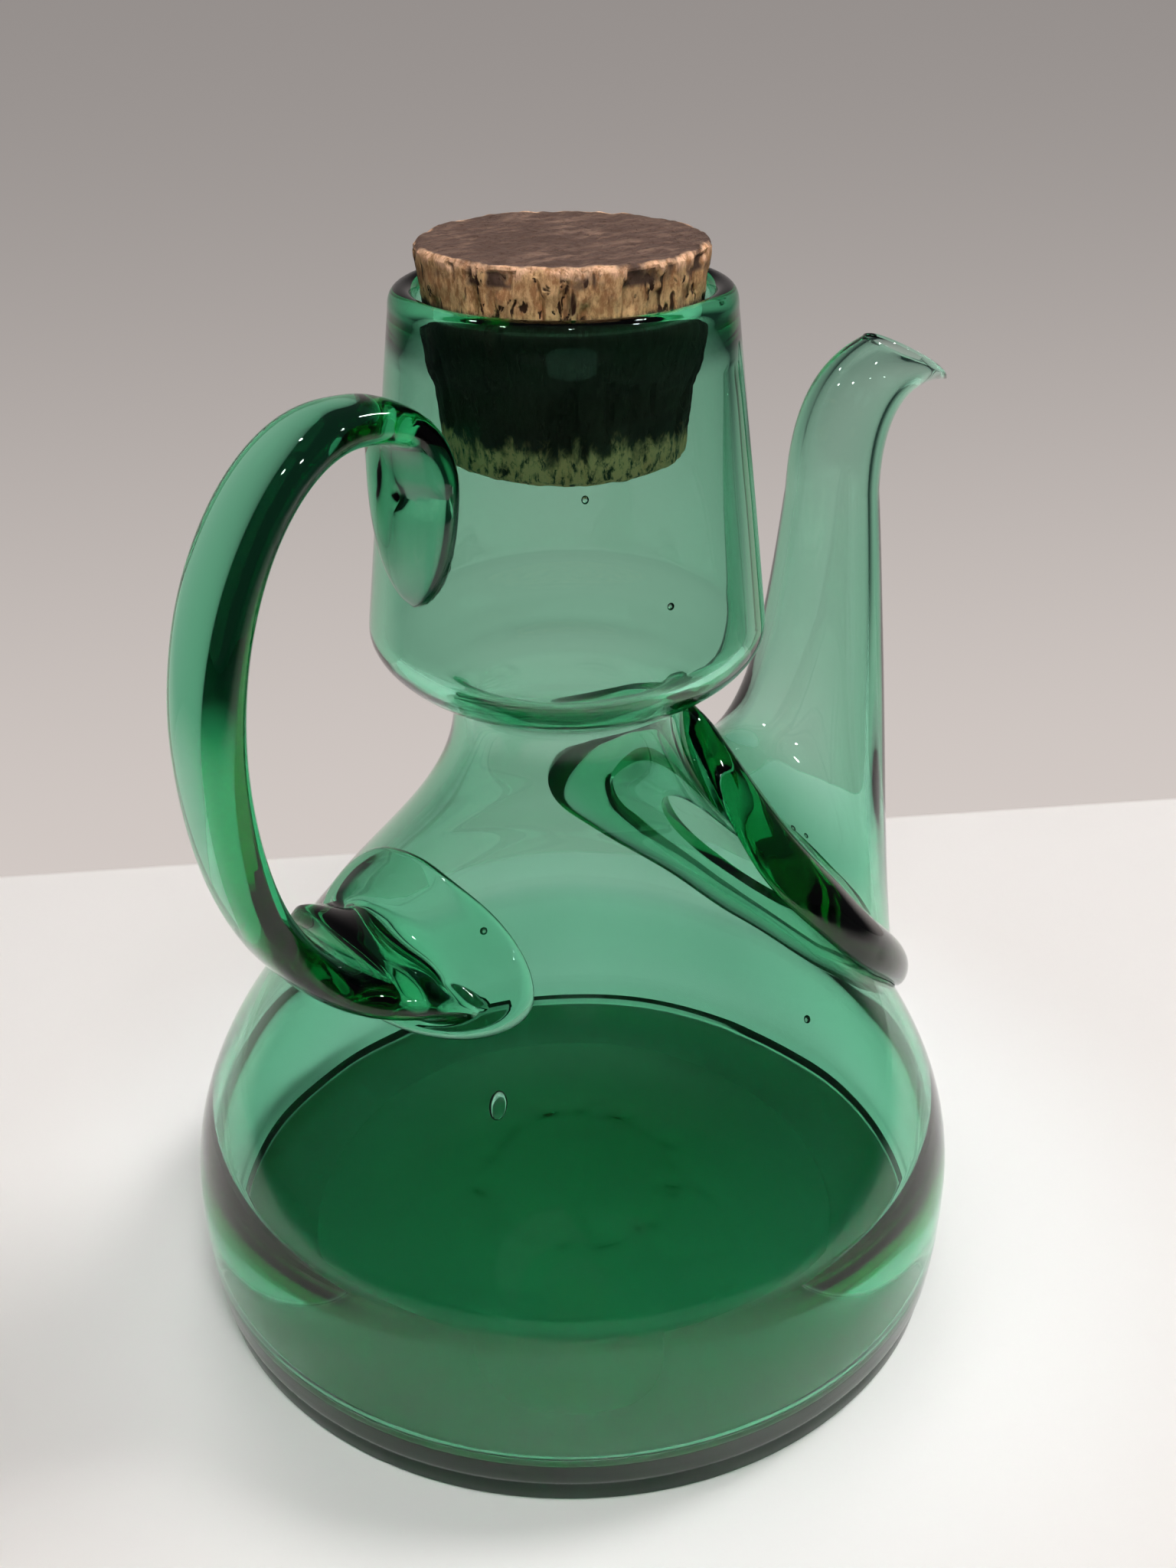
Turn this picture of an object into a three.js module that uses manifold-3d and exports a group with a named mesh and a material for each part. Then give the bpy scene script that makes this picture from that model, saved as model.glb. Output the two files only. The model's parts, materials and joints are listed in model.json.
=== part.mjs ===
// Hand-blown glass carafe: a bell-shaped vessel with a collar, a curved pouring spout,
// a strap handle and a tapered cork stopper. Millimetres, +Z up, spout towards +X.
import * as THREE from "three";
import { mergeVertices } from "three/addons/utils/BufferGeometryUtils.js";
import Module from "manifold-3d";

const wasm = await Module();
wasm.setup();

// Where the vessel's axis stands, so that spout and handle reach equally far from the origin
const AXIS_X = -11.2;

// Vessel, radii from its own axis
const BODY_RADIUS = 78;
const BODY_WIDEST_HEIGHT = 24;
const SHOULDER_RADIUS = 50.4;
const SHOULDER_HEIGHT = 77.8;
const SHOULDER_SLOPE = 53.8;
const SHOULDER_CURL = 19;
const BODY_CURL = 21;
const WAIST_RADIUS = 21.3;
const WAIST_HEIGHT = 125.5;
const WAIST_CURL = 18;
const WAIST_FILLET = 3.4;
const COLLAR_FLOOR_RADIUS = 29.5;
const COLLAR_FLOOR_HEIGHT = 132.6;
const COLLAR_RADIUS = 35.8;
const COLLAR_WIDEST_HEIGHT = 141.5;
const COLLAR_EDGE_CURL = 4.4;
const RIM_RADIUS = 29.2;
const RIM_HEIGHT = 200.8;
const RIM_ROUNDING = 3.4;
const RIM_DEPTH = 10;
const WALL = 3;
const FLOOR_THICKNESS = 5;
const HEEL_ROUNDING = 12;
const FOOT_RADIUS = 77.2;
const FOOT_ROUNDING = 2.2;
const FOOT_LINE_HEIGHT = 4.6;
const FOOT_LINE_DEPTH = 0.8;
const RESTING_RING_INNER = 62;
const PUSH_UP = 7;

// Spout, reaches from the vessel's axis
const ROOT_REACH = 52;
const ROOT_HEIGHT = 76.5;
const ROOT_TILT = 33;
const FLANGE_HALF_WIDTH = 42.5;
const FLANGE_HALF_LENGTH = 49;
const FLANGE_THICKNESS = 6;
const FLANGE_ROLL = 9;
const FLANGE_EDGE_INSET = 1;
const HOLE_HALF_WIDTH = 17;
const HOLE_HALF_LENGTH = 22;
const HOLE_DEPTH = 40;
const BELL_REACH = 92;
const BELL_PULL = 0.45;
const BELL_DROP = 3.5;
const BELL_FLARE = 1.5;
const BELL_CURL = 44;
const NECK_REACH = 70.4;
const NECK_HEIGHT = 150;
const NECK_RADIUS = 9.5;
const NECK_CURL = 17;
const MOUTH_REACH = 90;
const MOUTH_HEIGHT = 172.8;
const MOUTH_CURL = 12;
const MOUTH_HALF_LENGTH = 12.2;
const MOUTH_HALF_WIDTH = 7.6;
const MOUTH_TILT = 30;
const SPOUT_WALL = 2.4;

// Handle, reaches from the vessel's axis
const PAD_HEIGHT = 89.8;
const PAD_HALF_WIDTH = 28.5;
const PAD_HALF_LENGTH = 14.5;
const PAD_THICKNESS = 2.4;
const PAD_BORDER = 6;
const PAD_DROP = 3.5;
const ROOT_STRAP_REACH = 50;
const ROOT_STRAP_HEIGHT = 88.6;
const ROOT_STRAP_WIDTH = 42;
const ROOT_STRAP_THICKNESS = 9.5;
const ROOT_CURL = 14;
const ROOT_STUB = 4;
const ROOT_SPREAD = 0.08;
const HANDLE_REACH = 78.2;
const HANDLE_APEX_HEIGHT = 137;
const LOWER_CURL = 27;
const UPPER_CURL = 27;
const STRAP_WIDTH = 18;
const STRAP_THICKNESS = 8.4;
const TOP_STRAP_WIDTH = 15;
const TOP_STRAP_THICKNESS = 7;
const HANDLE_TOP_REACH = 45;
const HANDLE_TOP_HEIGHT = 186;
const HANDLE_TOP_CURL = 15;
const STRAP_END_HEIGHT = 182;
const STRAP_END_WIDTH = 19;
const TONGUE_TURN = 2.5;
const TONGUE_TOP = 186;
const TONGUE_BOTTOM = 153;
const TONGUE_HALF_WIDTH = 11;
const TONGUE_TAPER = 0.3;
const TONGUE_THICKNESS = 4.6;

// Cork
const CORK_TOP_RADIUS = 25.2;
const CORK_BOTTOM_RADIUS = 21;
const CORK_LENGTH = 36.5;
const CORK_PROUD = 7.7;
const CORK_EDGE = 1.2;

// Edge shapes, as shares of the thickness of the piece that they round over
const EDGE_LOW = 0.3;
const EDGE_MIDDLE = 0.4;
const EDGE_HIGH = 0.75;
const EDGE_NEAR_TOP = 0.8;
const EDGE_PAD_TOP = 0.9;
const ROLL_CREST_START = 0.35;
const ROLL_CREST_END = 0.65;
const DOME_SHOULDER = 0.7;
const STRAP_SQUARENESS = 0.75;
// How many times its own share of the route each change of the strap fits in
const ROOT_FADE = 4;
const TOP_FADE = 2;
const END_FADE = 5;

// Fits
const WELD_GAP = 0.3;
const CORK_CLEARANCE = 0.3;

// Mesh fineness
const TURN_STEPS = 48;
const LOOP_STEPS = 28;
const LONG_CURVE_STEPS = 8;
const SHORT_CURVE_STEPS = 3;
const DROP_REACH = 60;
const DROP_HALVINGS = 30;

const v2 = (x, y) => new THREE.Vector2(x, y);
const v3 = (x, y, z) => new THREE.Vector3(x, y, z);
const radians = THREE.MathUtils.degToRad;
const quadratic = (a, b, c) => new THREE.QuadraticBezierCurve(a, b, c).getPoints(SHORT_CURVE_STEPS);
const cubic = (a, b, c, d) => new THREE.CubicBezierCurve(a, b, c, d).getPoints(LONG_CURVE_STEPS);

// Solids and meshes

function solidFrom(geometry) {
  const bare = geometry.clone();
  bare.deleteAttribute("normal");
  bare.deleteAttribute("uv");
  const merged = mergeVertices(bare, 1e-5);
  const corners = merged.index.array;
  const triVerts = [];
  for (let i = 0; i < corners.length; i += 3) {
    const [a, b, c] = corners.slice(i, i + 3);
    if (a !== b && b !== c && c !== a) {
      triVerts.push(a, b, c);
    }
  }
  return new wasm.Manifold(new wasm.Mesh({
    numProp: 3,
    vertProperties: new Float32Array(merged.attributes.position.array),
    triVerts: new Uint32Array(triVerts),
  }));
}

function geometryFrom(solid) {
  const mesh = solid.getMesh();
  const geometry = new THREE.BufferGeometry();
  geometry.setAttribute("position", new THREE.BufferAttribute(new Float32Array(mesh.vertProperties), 3));
  geometry.setIndex(new THREE.BufferAttribute(new Uint32Array(mesh.triVerts), 1));
  geometry.computeVertexNormals();
  return geometry;
}

// A turned solid about +Z from (radius, height) points that run from the bottom to the top.
function turned(profile) {
  const geometry = new THREE.LatheGeometry(profile, TURN_STEPS);
  geometry.rotateX(Math.PI / 2);
  return solidFrom(geometry);
}

function loop(pointAt) {
  return Array.from({ length: LOOP_STEPS }, (_, i) => pointAt(2 * Math.PI * i / LOOP_STEPS));
}

// A solid through closed rings that turn left about the way they follow each other.
function lofted(rings) {
  const count = LOOP_STEPS;
  const middle = (ring) => ring.reduce((sum, p) => sum.add(p), v3(0, 0, 0)).divideScalar(count);
  const ends = [middle(rings[0]), middle(rings[rings.length - 1])];
  const index = [];
  for (let i = 0; i < count; i += 1) {
    const next = (i + 1) % count;
    for (let start = 0; start + count < rings.length * count; start += count) {
      const above = start + count;
      index.push(start + i, start + next, above + next);
      index.push(start + i, above + next, above + i);
    }
    const last = (rings.length - 1) * count;
    const bottomMiddle = rings.length * count;
    index.push(bottomMiddle, next, i);
    index.push(bottomMiddle + 1, last + i, last + next);
  }
  const geometry = new THREE.BufferGeometry().setFromPoints([...rings.flat(), ...ends]);
  geometry.setIndex(index);
  return solidFrom(geometry);
}

// Vessel outline

function shoulderCurves() {
  const slope = radians(SHOULDER_SLOPE);
  const curl = v2(-Math.cos(slope), Math.sin(slope)).multiplyScalar(SHOULDER_CURL);
  const shoulder = v2(SHOULDER_RADIUS, SHOULDER_HEIGHT);
  const widest = v2(BODY_RADIUS, BODY_WIDEST_HEIGHT);
  const waist = v2(WAIST_RADIUS, WAIST_HEIGHT);
  return [
    ...cubic(widest, v2(widest.x, widest.y + BODY_CURL), shoulder.clone().sub(curl), shoulder),
    ...cubic(shoulder, shoulder.clone().add(curl), v2(waist.x, waist.y - WAIST_CURL), waist).slice(1),
  ];
}

// The outside of the vessel from the foot to where the rim starts to round over.
function outerProfile() {
  const waist = v2(WAIST_RADIUS, WAIST_HEIGHT);
  const floor = v2(COLLAR_FLOOR_RADIUS, COLLAR_FLOOR_HEIGHT);
  const waistEnd = waist.clone().lerp(floor, 0.5).add(v2(-WAIST_FILLET / 4, WAIST_FILLET / 4));
  const widest = v2(COLLAR_RADIUS, COLLAR_WIDEST_HEIGHT);
  const footEdge = new THREE.EllipseCurve(
    FOOT_RADIUS - FOOT_ROUNDING, FOOT_ROUNDING, FOOT_ROUNDING, FOOT_ROUNDING, -Math.PI / 2, 0,
  );
  const heelStart = v2(FOOT_RADIUS, FOOT_LINE_HEIGHT + FOOT_LINE_DEPTH);
  return [
    ...footEdge.getPoints(SHORT_CURVE_STEPS),
    v2(FOOT_RADIUS, FOOT_LINE_HEIGHT - FOOT_LINE_DEPTH),
    v2(FOOT_RADIUS - FOOT_LINE_DEPTH, FOOT_LINE_HEIGHT),
    ...quadratic(heelStart, v2(BODY_RADIUS, BODY_WIDEST_HEIGHT / 2), v2(BODY_RADIUS, BODY_WIDEST_HEIGHT)),
    ...shoulderCurves().slice(1),
    ...quadratic(waist, v2(waist.x, waist.y + WAIST_FILLET), waistEnd).slice(1),
    ...quadratic(floor, v2(widest.x, widest.y - COLLAR_EDGE_CURL), widest),
    v2(RIM_RADIUS, RIM_HEIGHT - RIM_ROUNDING),
  ];
}

// The outline moved square to itself by a distance, positive outwards.
function shifted(profile, distance) {
  return profile.map((point, i) => {
    const before = profile[Math.max(i - 1, 0)];
    const after = profile[Math.min(i + 1, profile.length - 1)];
    const along = after.clone().sub(before).normalize();
    return v2(point.x + along.y * distance, point.y - along.x * distance);
  });
}

function radiusAt(profile, height) {
  const next = profile.findIndex((point) => point.y >= height);
  if (next <= 0) {
    return profile[next === 0 ? 0 : profile.length - 1].x;
  }
  const [low, high] = [profile[next - 1], profile[next]];
  return low.x + (high.x - low.x) * (height - low.y) / (high.y - low.y);
}

const OUTLINE = outerProfile();

// The outside of the vessel as a full solid, grown by a gap. The other glass is cut by it.
function vesselSkin(gap) {
  const side = shifted(OUTLINE, gap).slice(1);
  return turned([v2(0, -gap), v2(OUTLINE[0].x, -gap), ...side, v2(0, RIM_HEIGHT)]);
}

function corkRadiusAt(height) {
  const depth = RIM_HEIGHT + CORK_PROUD - height;
  return CORK_TOP_RADIUS - (CORK_TOP_RADIUS - CORK_BOTTOM_RADIUS) * depth / CORK_LENGTH;
}

function rimProfile() {
  const shoulder = RIM_HEIGHT - RIM_ROUNDING;
  const mouth = corkRadiusAt(shoulder) + CORK_CLEARANCE;
  const crest = v2((RIM_RADIUS + mouth) / 2, RIM_HEIGHT);
  const flare = corkRadiusAt(RIM_HEIGHT) + CORK_CLEARANCE;
  return [
    ...quadratic(v2(RIM_RADIUS, shoulder), v2(RIM_RADIUS, RIM_HEIGHT), crest).slice(1),
    ...quadratic(crest, v2(flare, RIM_HEIGHT), v2(mouth, shoulder)).slice(1),
  ];
}

function vesselSolid() {
  const inner = shifted(OUTLINE, -WALL);
  const side = inner.filter((p) => p.y > FLOOR_THICKNESS + HEEL_ROUNDING && p.y < RIM_HEIGHT - RIM_DEPTH);
  const heelTop = side[0];
  const heelFoot = v2(heelTop.x - HEEL_ROUNDING, FLOOR_THICKNESS);
  const top = v2(radiusAt(inner, RIM_HEIGHT - RIM_DEPTH), RIM_HEIGHT - RIM_DEPTH);
  const dome = (height, edge) => (
    cubic(v2(0, height + PUSH_UP), v2(edge.x / 2, height + PUSH_UP), v2(edge.x * DOME_SHOULDER, height), edge)
  );
  const profile = [
    ...dome(0, v2(RESTING_RING_INNER, 0)),
    ...OUTLINE,
    ...rimProfile(),
    top,
    ...side.reverse(),
    ...quadratic(heelTop, v2(heelTop.x, FLOOR_THICKNESS), heelFoot).slice(1),
    ...dome(FLOOR_THICKNESS, heelFoot).reverse().slice(1),
  ];
  return turned(profile).subtract(spoutHole());
}

// Rings on the vessel

// A place on the vessel with the way out, the way up and the way across that make a right-handed set.
function seatAt(centre, out, across) {
  return { centre, out, across, up: out.clone().cross(across) };
}

// An oval ring round a seat, dropped onto the vessel's outline lifted by a height. A taper
// narrows its lower end, and a drop slides it down the glass.
function seatRing(seat, halfWidth, halfLength, lift, taper = 0, drop = 0) {
  const surface = shifted(OUTLINE, lift);
  return loop((turn) => {
    const width = halfWidth * (1 + taper * Math.sin(turn));
    const start = seat.centre.clone()
      .addScaledVector(seat.across, width * Math.cos(turn))
      .addScaledVector(seat.up, halfLength * Math.sin(turn) - drop);
    return droppedOnto(surface, start, seat.out);
  });
}

// The point where a line through a start meets a body of revolution.
function droppedOnto(profile, start, out) {
  let [low, high] = [-DROP_REACH, DROP_REACH];
  const at = (distance) => start.clone().addScaledVector(out, distance);
  for (let i = 0; i < DROP_HALVINGS; i += 1) {
    const middle = (low + high) / 2;
    const p = at(middle);
    if (Math.hypot(p.x, p.y) > radiusAt(profile, p.z)) {
      high = middle;
    } else {
      low = middle;
    }
  }
  return at(high);
}

// Rings that run from a foot ring to an end ring as curves with their own pull at each end.
function flaredRings(foot, footPull, endPull, end) {
  const curves = foot.map((start, i) => (
    new THREE.CubicBezierCurve3(start, footPull(start, i), endPull(end[i], i), end[i])
  ));
  return Array.from({ length: LONG_CURVE_STEPS + 1 }, (_, step) => (
    curves.map((curve) => curve.getPoint(step / LONG_CURVE_STEPS))
  ));
}

// Spout

const ROOT_OUT = v3(Math.cos(radians(ROOT_TILT)), 0, Math.sin(radians(ROOT_TILT)));
const ROOT = seatAt(v3(ROOT_REACH, 0, ROOT_HEIGHT), ROOT_OUT, v3(0, 1, 0));

function spoutHole() {
  const ring = (distance) => loop((turn) => ROOT.centre.clone()
    .addScaledVector(ROOT.across, HOLE_HALF_WIDTH * Math.cos(turn))
    .addScaledVector(ROOT.up, HOLE_HALF_LENGTH * Math.sin(turn))
    .addScaledVector(ROOT.out, distance));
  return lofted([ring(-HOLE_DEPTH), ring(HOLE_DEPTH)]);
}

// An oval ring across the spout, tipped down towards the pouring side by a tilt.
function spoutRing(centre, tilt, halfLength, halfWidth) {
  const along = v3(Math.cos(radians(tilt)), 0, -Math.sin(radians(tilt)));
  return loop((turn) => centre.clone()
    .addScaledVector(v3(0, 1, 0), halfWidth * Math.cos(turn))
    .addScaledVector(along, -halfLength * Math.sin(turn)));
}

function neckCurve() {
  return new THREE.CubicBezierCurve3(
    v3(NECK_REACH, 0, NECK_HEIGHT),
    v3(NECK_REACH, 0, NECK_HEIGHT + NECK_CURL),
    v3(MOUTH_REACH - MOUTH_CURL, 0, MOUTH_HEIGHT),
    v3(MOUTH_REACH, 0, MOUTH_HEIGHT),
  );
}

// Rings from a foot ring on the flange up through the bell and the neck to the mouth.
function spoutRings(foot, inset) {
  const neck = v3(NECK_REACH, 0, NECK_HEIGHT);
  const bell = v3(BELL_REACH, 0, ROOT_HEIGHT);
  const flare = (p) => neck.clone().lerp(p, BELL_FLARE).add(v3(0, 0, -BELL_CURL));
  const end = spoutRing(neck, 0, NECK_RADIUS - inset, NECK_RADIUS - inset);
  const bellRings = flaredRings(foot, (p) => p.clone().lerp(bell, BELL_PULL), flare, end);
  const curve = neckCurve();
  const tubeRings = Array.from({ length: LONG_CURVE_STEPS }, (_, step) => {
    const share = (step + 1) / LONG_CURVE_STEPS;
    const halfLength = THREE.MathUtils.lerp(NECK_RADIUS, MOUTH_HALF_LENGTH, share ** 2);
    const halfWidth = THREE.MathUtils.lerp(NECK_RADIUS, MOUTH_HALF_WIDTH, share);
    return spoutRing(curve.getPoint(share), MOUTH_TILT * share, halfLength - inset, halfWidth - inset);
  });
  return [...bellRings, ...tubeRings];
}

function flangeRing(inset, lift, drop = 0) {
  return seatRing(ROOT, FLANGE_HALF_WIDTH - inset, FLANGE_HALF_LENGTH - inset, lift, 0, drop);
}

function spoutSolid() {
  const outer = lofted([
    flangeRing(FLANGE_ROLL, -WALL),
    flangeRing(FLANGE_EDGE_INSET, -WALL / 2),
    flangeRing(0, FLANGE_THICKNESS * EDGE_LOW),
    flangeRing(FLANGE_EDGE_INSET, FLANGE_THICKNESS * EDGE_HIGH),
    flangeRing(FLANGE_ROLL * ROLL_CREST_START, FLANGE_THICKNESS),
    flangeRing(FLANGE_ROLL * ROLL_CREST_END, FLANGE_THICKNESS),
    ...spoutRings(flangeRing(FLANGE_ROLL, FLANGE_THICKNESS * EDGE_NEAR_TOP, BELL_DROP), 0),
  ]);
  const inset = FLANGE_ROLL + SPOUT_WALL;
  const boreRings = spoutRings(flangeRing(inset, WELD_GAP, BELL_DROP), SPOUT_WALL);
  const out = v3(Math.sin(radians(MOUTH_TILT)), 0, Math.cos(radians(MOUTH_TILT)));
  const beyond = boreRings[boreRings.length - 1].map((p) => p.clone().addScaledVector(out, SPOUT_WALL));
  const bore = lofted([flangeRing(inset, -WALL, BELL_DROP), ...boreRings, beyond]);
  return outer.subtract(bore).subtract(vesselSkin(WELD_GAP));
}

// Handle

// A flat oval ring across the strap.
function strapRing(centre, along, width, thickness) {
  const across = v3(along.z, 0, -along.x);
  const rounded = (value) => Math.sign(value) * Math.abs(value) ** STRAP_SQUARENESS;
  return loop((turn) => centre.clone()
    .addScaledVector(v3(0, -1, 0), width / 2 * rounded(Math.cos(turn)))
    .addScaledVector(across, thickness / 2 * rounded(Math.sin(turn))));
}

function strapRoute() {
  const reach = HANDLE_REACH - STRAP_THICKNESS / 2;
  const end = radiusAt(OUTLINE, STRAP_END_HEIGHT) - WALL / 2;
  const route = new THREE.CurvePath();
  route.add(new THREE.CubicBezierCurve3(
    v3(-ROOT_STRAP_REACH, 0, ROOT_STRAP_HEIGHT),
    v3(-ROOT_STRAP_REACH - ROOT_CURL, 0, ROOT_STRAP_HEIGHT),
    v3(-reach, 0, HANDLE_APEX_HEIGHT - LOWER_CURL),
    v3(-reach, 0, HANDLE_APEX_HEIGHT),
  ));
  route.add(new THREE.CubicBezierCurve3(
    v3(-reach, 0, HANDLE_APEX_HEIGHT),
    v3(-reach, 0, HANDLE_APEX_HEIGHT + UPPER_CURL),
    v3(-HANDLE_TOP_REACH - HANDLE_TOP_CURL, 0, HANDLE_TOP_HEIGHT),
    v3(-HANDLE_TOP_REACH, 0, HANDLE_TOP_HEIGHT),
  ));
  route.add(new THREE.QuadraticBezierCurve3(
    v3(-HANDLE_TOP_REACH, 0, HANDLE_TOP_HEIGHT),
    v3(-(HANDLE_TOP_REACH + end) / 2, 0, HANDLE_TOP_HEIGHT),
    v3(-end, 0, STRAP_END_HEIGHT),
  ));
  return route;
}

function strapRings() {
  const route = strapRoute();
  const steps = 3 * LONG_CURVE_STEPS;
  const fade = (share) => Math.max(0, 1 - share) ** 2;
  return Array.from({ length: steps + 1 }, (_, step) => {
    const share = step / steps;
    const low = fade(ROOT_FADE * share);
    const high = fade(TOP_FADE * (1 - share));
    const end = fade(END_FADE * (1 - share));
    const width = STRAP_WIDTH + (ROOT_STRAP_WIDTH - STRAP_WIDTH) * low
      + (TOP_STRAP_WIDTH - STRAP_WIDTH) * (high - end) + (STRAP_END_WIDTH - STRAP_WIDTH) * end;
    const thickness = STRAP_THICKNESS + (ROOT_STRAP_THICKNESS - STRAP_THICKNESS) * low
      + (TOP_STRAP_THICKNESS - STRAP_THICKNESS) * high;
    return strapRing(route.getPointAt(share), route.getTangentAt(share), width, thickness);
  });
}

function strapSolid() {
  const tilt = radians(90 - SHOULDER_SLOPE);
  const pad = seatAt(
    v3(-radiusAt(OUTLINE, PAD_HEIGHT), 0, PAD_HEIGHT),
    v3(-Math.cos(tilt), 0, Math.sin(tilt)),
    v3(0, -1, 0),
  );
  const ring = (inset, lift, drop = 0) => (
    seatRing(pad, PAD_HALF_WIDTH - inset, PAD_HALF_LENGTH - inset, lift, 0, drop)
  );
  const strap = strapRings();
  const flare = flaredRings(
    ring(PAD_BORDER, PAD_THICKNESS, PAD_DROP),
    (p) => p.clone().addScaledVector(pad.out, ROOT_STUB),
    (p) => p.clone().add(v3(ROOT_STUB, p.y * ROOT_SPREAD, 0)),
    strap[0],
  );
  return lofted([
    ring(PAD_BORDER, -WALL),
    ring(0, -WALL / 2),
    ring(0, PAD_THICKNESS * EDGE_MIDDLE),
    ring(PAD_THICKNESS / 2, PAD_THICKNESS * EDGE_PAD_TOP),
    ...flare,
    ...strap.slice(1),
  ]);
}

function tongueSolid() {
  const turn = radians(180 + TONGUE_TURN);
  const height = (TONGUE_TOP + TONGUE_BOTTOM) / 2;
  const out = v3(Math.cos(turn), Math.sin(turn), 0);
  const seat = seatAt(out.clone().multiplyScalar(radiusAt(OUTLINE, height)).setZ(height), out,
    v3(-out.y, out.x, 0));
  const halfLength = (TONGUE_TOP - TONGUE_BOTTOM) / 2;
  const ring = (inset, lift) => (
    seatRing(seat, TONGUE_HALF_WIDTH - inset, halfLength - inset, lift, TONGUE_TAPER)
  );
  return lofted([
    ring(TONGUE_THICKNESS, -WALL),
    ring(0, -WALL / 2),
    ring(0, TONGUE_THICKNESS * EDGE_LOW),
    ring(TONGUE_THICKNESS * EDGE_LOW, TONGUE_THICKNESS * EDGE_NEAR_TOP),
    ring(TONGUE_THICKNESS, TONGUE_THICKNESS),
  ]);
}

function handleSolid() {
  return strapSolid().add(tongueSolid()).subtract(vesselSkin(WELD_GAP));
}

// Cork

function corkSolid() {
  const top = RIM_HEIGHT + CORK_PROUD;
  const bottom = top - CORK_LENGTH;
  return turned([
    v2(0, bottom),
    v2(CORK_BOTTOM_RADIUS - CORK_EDGE, bottom),
    v2(corkRadiusAt(bottom + CORK_EDGE), bottom + CORK_EDGE),
    v2(corkRadiusAt(top - CORK_EDGE), top - CORK_EDGE),
    v2(CORK_TOP_RADIUS - CORK_EDGE, top),
    v2(0, top),
  ]);
}

// Materials and assembly

function glassMaterial() {
  return new THREE.MeshStandardMaterial({
    color: 0x2f7a58, roughness: 0.05, metalness: 0, transparent: true, opacity: 0.5,
  });
}

function corkMaterial() {
  return new THREE.MeshStandardMaterial({ color: 0x8a5a36, roughness: 0.9, metalness: 0 });
}

function part(name, solid, material) {
  const mesh = new THREE.Mesh(geometryFrom(solid), material);
  mesh.name = name;
  mesh.position.x = AXIS_X;
  return mesh;
}

const carafe = new THREE.Group();
carafe.add(part("vessel", vesselSolid(), glassMaterial()));
carafe.add(part("spout", spoutSolid(), glassMaterial()));
carafe.add(part("handle", handleSolid(), glassMaterial()));
carafe.add(part("cork_stopper", corkSolid(), corkMaterial()));

export default carafe;
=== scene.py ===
# Hand-blown green glass carafe with a pouring spout, a strap handle and a tapered cork.
# The add-on dresses the packed frame: metres, +Z up, spout towards +X.
import json
import math
from contextlib import contextmanager

import bmesh
import bpy
import numpy as np
from mathutils import Euler, Matrix, Vector, noise
from mathutils.bvhtree import BVHTree
from mathutils.kdtree import KDTree

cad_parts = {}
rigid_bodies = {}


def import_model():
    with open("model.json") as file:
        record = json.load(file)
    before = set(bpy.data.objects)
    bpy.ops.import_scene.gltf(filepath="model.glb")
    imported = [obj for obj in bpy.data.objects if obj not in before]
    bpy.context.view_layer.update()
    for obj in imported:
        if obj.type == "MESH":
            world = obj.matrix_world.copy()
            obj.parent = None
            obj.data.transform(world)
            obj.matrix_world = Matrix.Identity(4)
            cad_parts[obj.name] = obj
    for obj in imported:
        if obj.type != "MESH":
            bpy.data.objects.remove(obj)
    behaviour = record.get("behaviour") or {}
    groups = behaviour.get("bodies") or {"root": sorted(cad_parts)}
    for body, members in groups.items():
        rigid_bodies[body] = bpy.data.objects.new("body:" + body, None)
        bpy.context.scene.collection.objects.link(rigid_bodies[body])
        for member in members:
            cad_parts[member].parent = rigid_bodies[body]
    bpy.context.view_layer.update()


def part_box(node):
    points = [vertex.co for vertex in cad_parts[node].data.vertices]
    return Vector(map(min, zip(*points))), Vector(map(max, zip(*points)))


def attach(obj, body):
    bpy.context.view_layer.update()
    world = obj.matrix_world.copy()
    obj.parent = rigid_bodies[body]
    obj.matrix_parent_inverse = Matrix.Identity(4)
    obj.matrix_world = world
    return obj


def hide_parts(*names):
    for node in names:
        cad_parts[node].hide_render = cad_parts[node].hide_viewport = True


bl_info = {
    "name": "Glass carafe",
    "version": (1, 0, 0),
    "blender": (4, 5, 0),
    "location": "View3D > Sidebar > Carafe",
    "description": "Models a hand-blown green glass carafe and its cork on their packed frame",
    "category": "Add Mesh",
}

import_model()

MM = 0.001
VESSEL_LOW, VESSEL_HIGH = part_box("vessel")
HANDLE_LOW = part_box("handle")[0]
CORK_LOW, CORK_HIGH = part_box("cork_stopper")
AXIS_X = (VESSEL_LOW.x + VESSEL_HIGH.x) / 2

# Mesh fineness
TURN_STEPS = 160
LOOP_STEPS = 96
CORK_STEPS = 240
LINE_SPACING = 1.3 * MM
FINE_SPACING = 0.2 * MM
CORK_SPACING = 0.55 * MM
MERGE_REACH = 0.001 * MM
DROP_REACH = 60 * MM
DROP_HALVINGS = 40
SMOOTH_ANGLE = 35

# How closely the welded glass lies on the vessel, how near counts as touching, and the weight that does
WELD_GAP = 0.05 * MM
WELD_REACH = 0.2 * MM
WELDED = 0.999


# Sizes and looks that a user would change

def length(name, millimetres, description):
    return bpy.props.FloatProperty(name=name, description=description, default=millimetres * MM,
                                   unit="LENGTH", subtype="DISTANCE", precision=5)


def angle(name, degrees, description):
    return bpy.props.FloatProperty(name=name, description=description, default=math.radians(degrees),
                                   unit="ROTATION", subtype="ANGLE")


def factor(name, value, description):
    return bpy.props.FloatProperty(name=name, description=description, default=value, precision=4)


def colour(name, rgb, description):
    return bpy.props.FloatVectorProperty(name=name, description=description, default=(*rgb, 1), size=4,
                                         min=0, max=1, subtype="COLOR")


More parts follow.
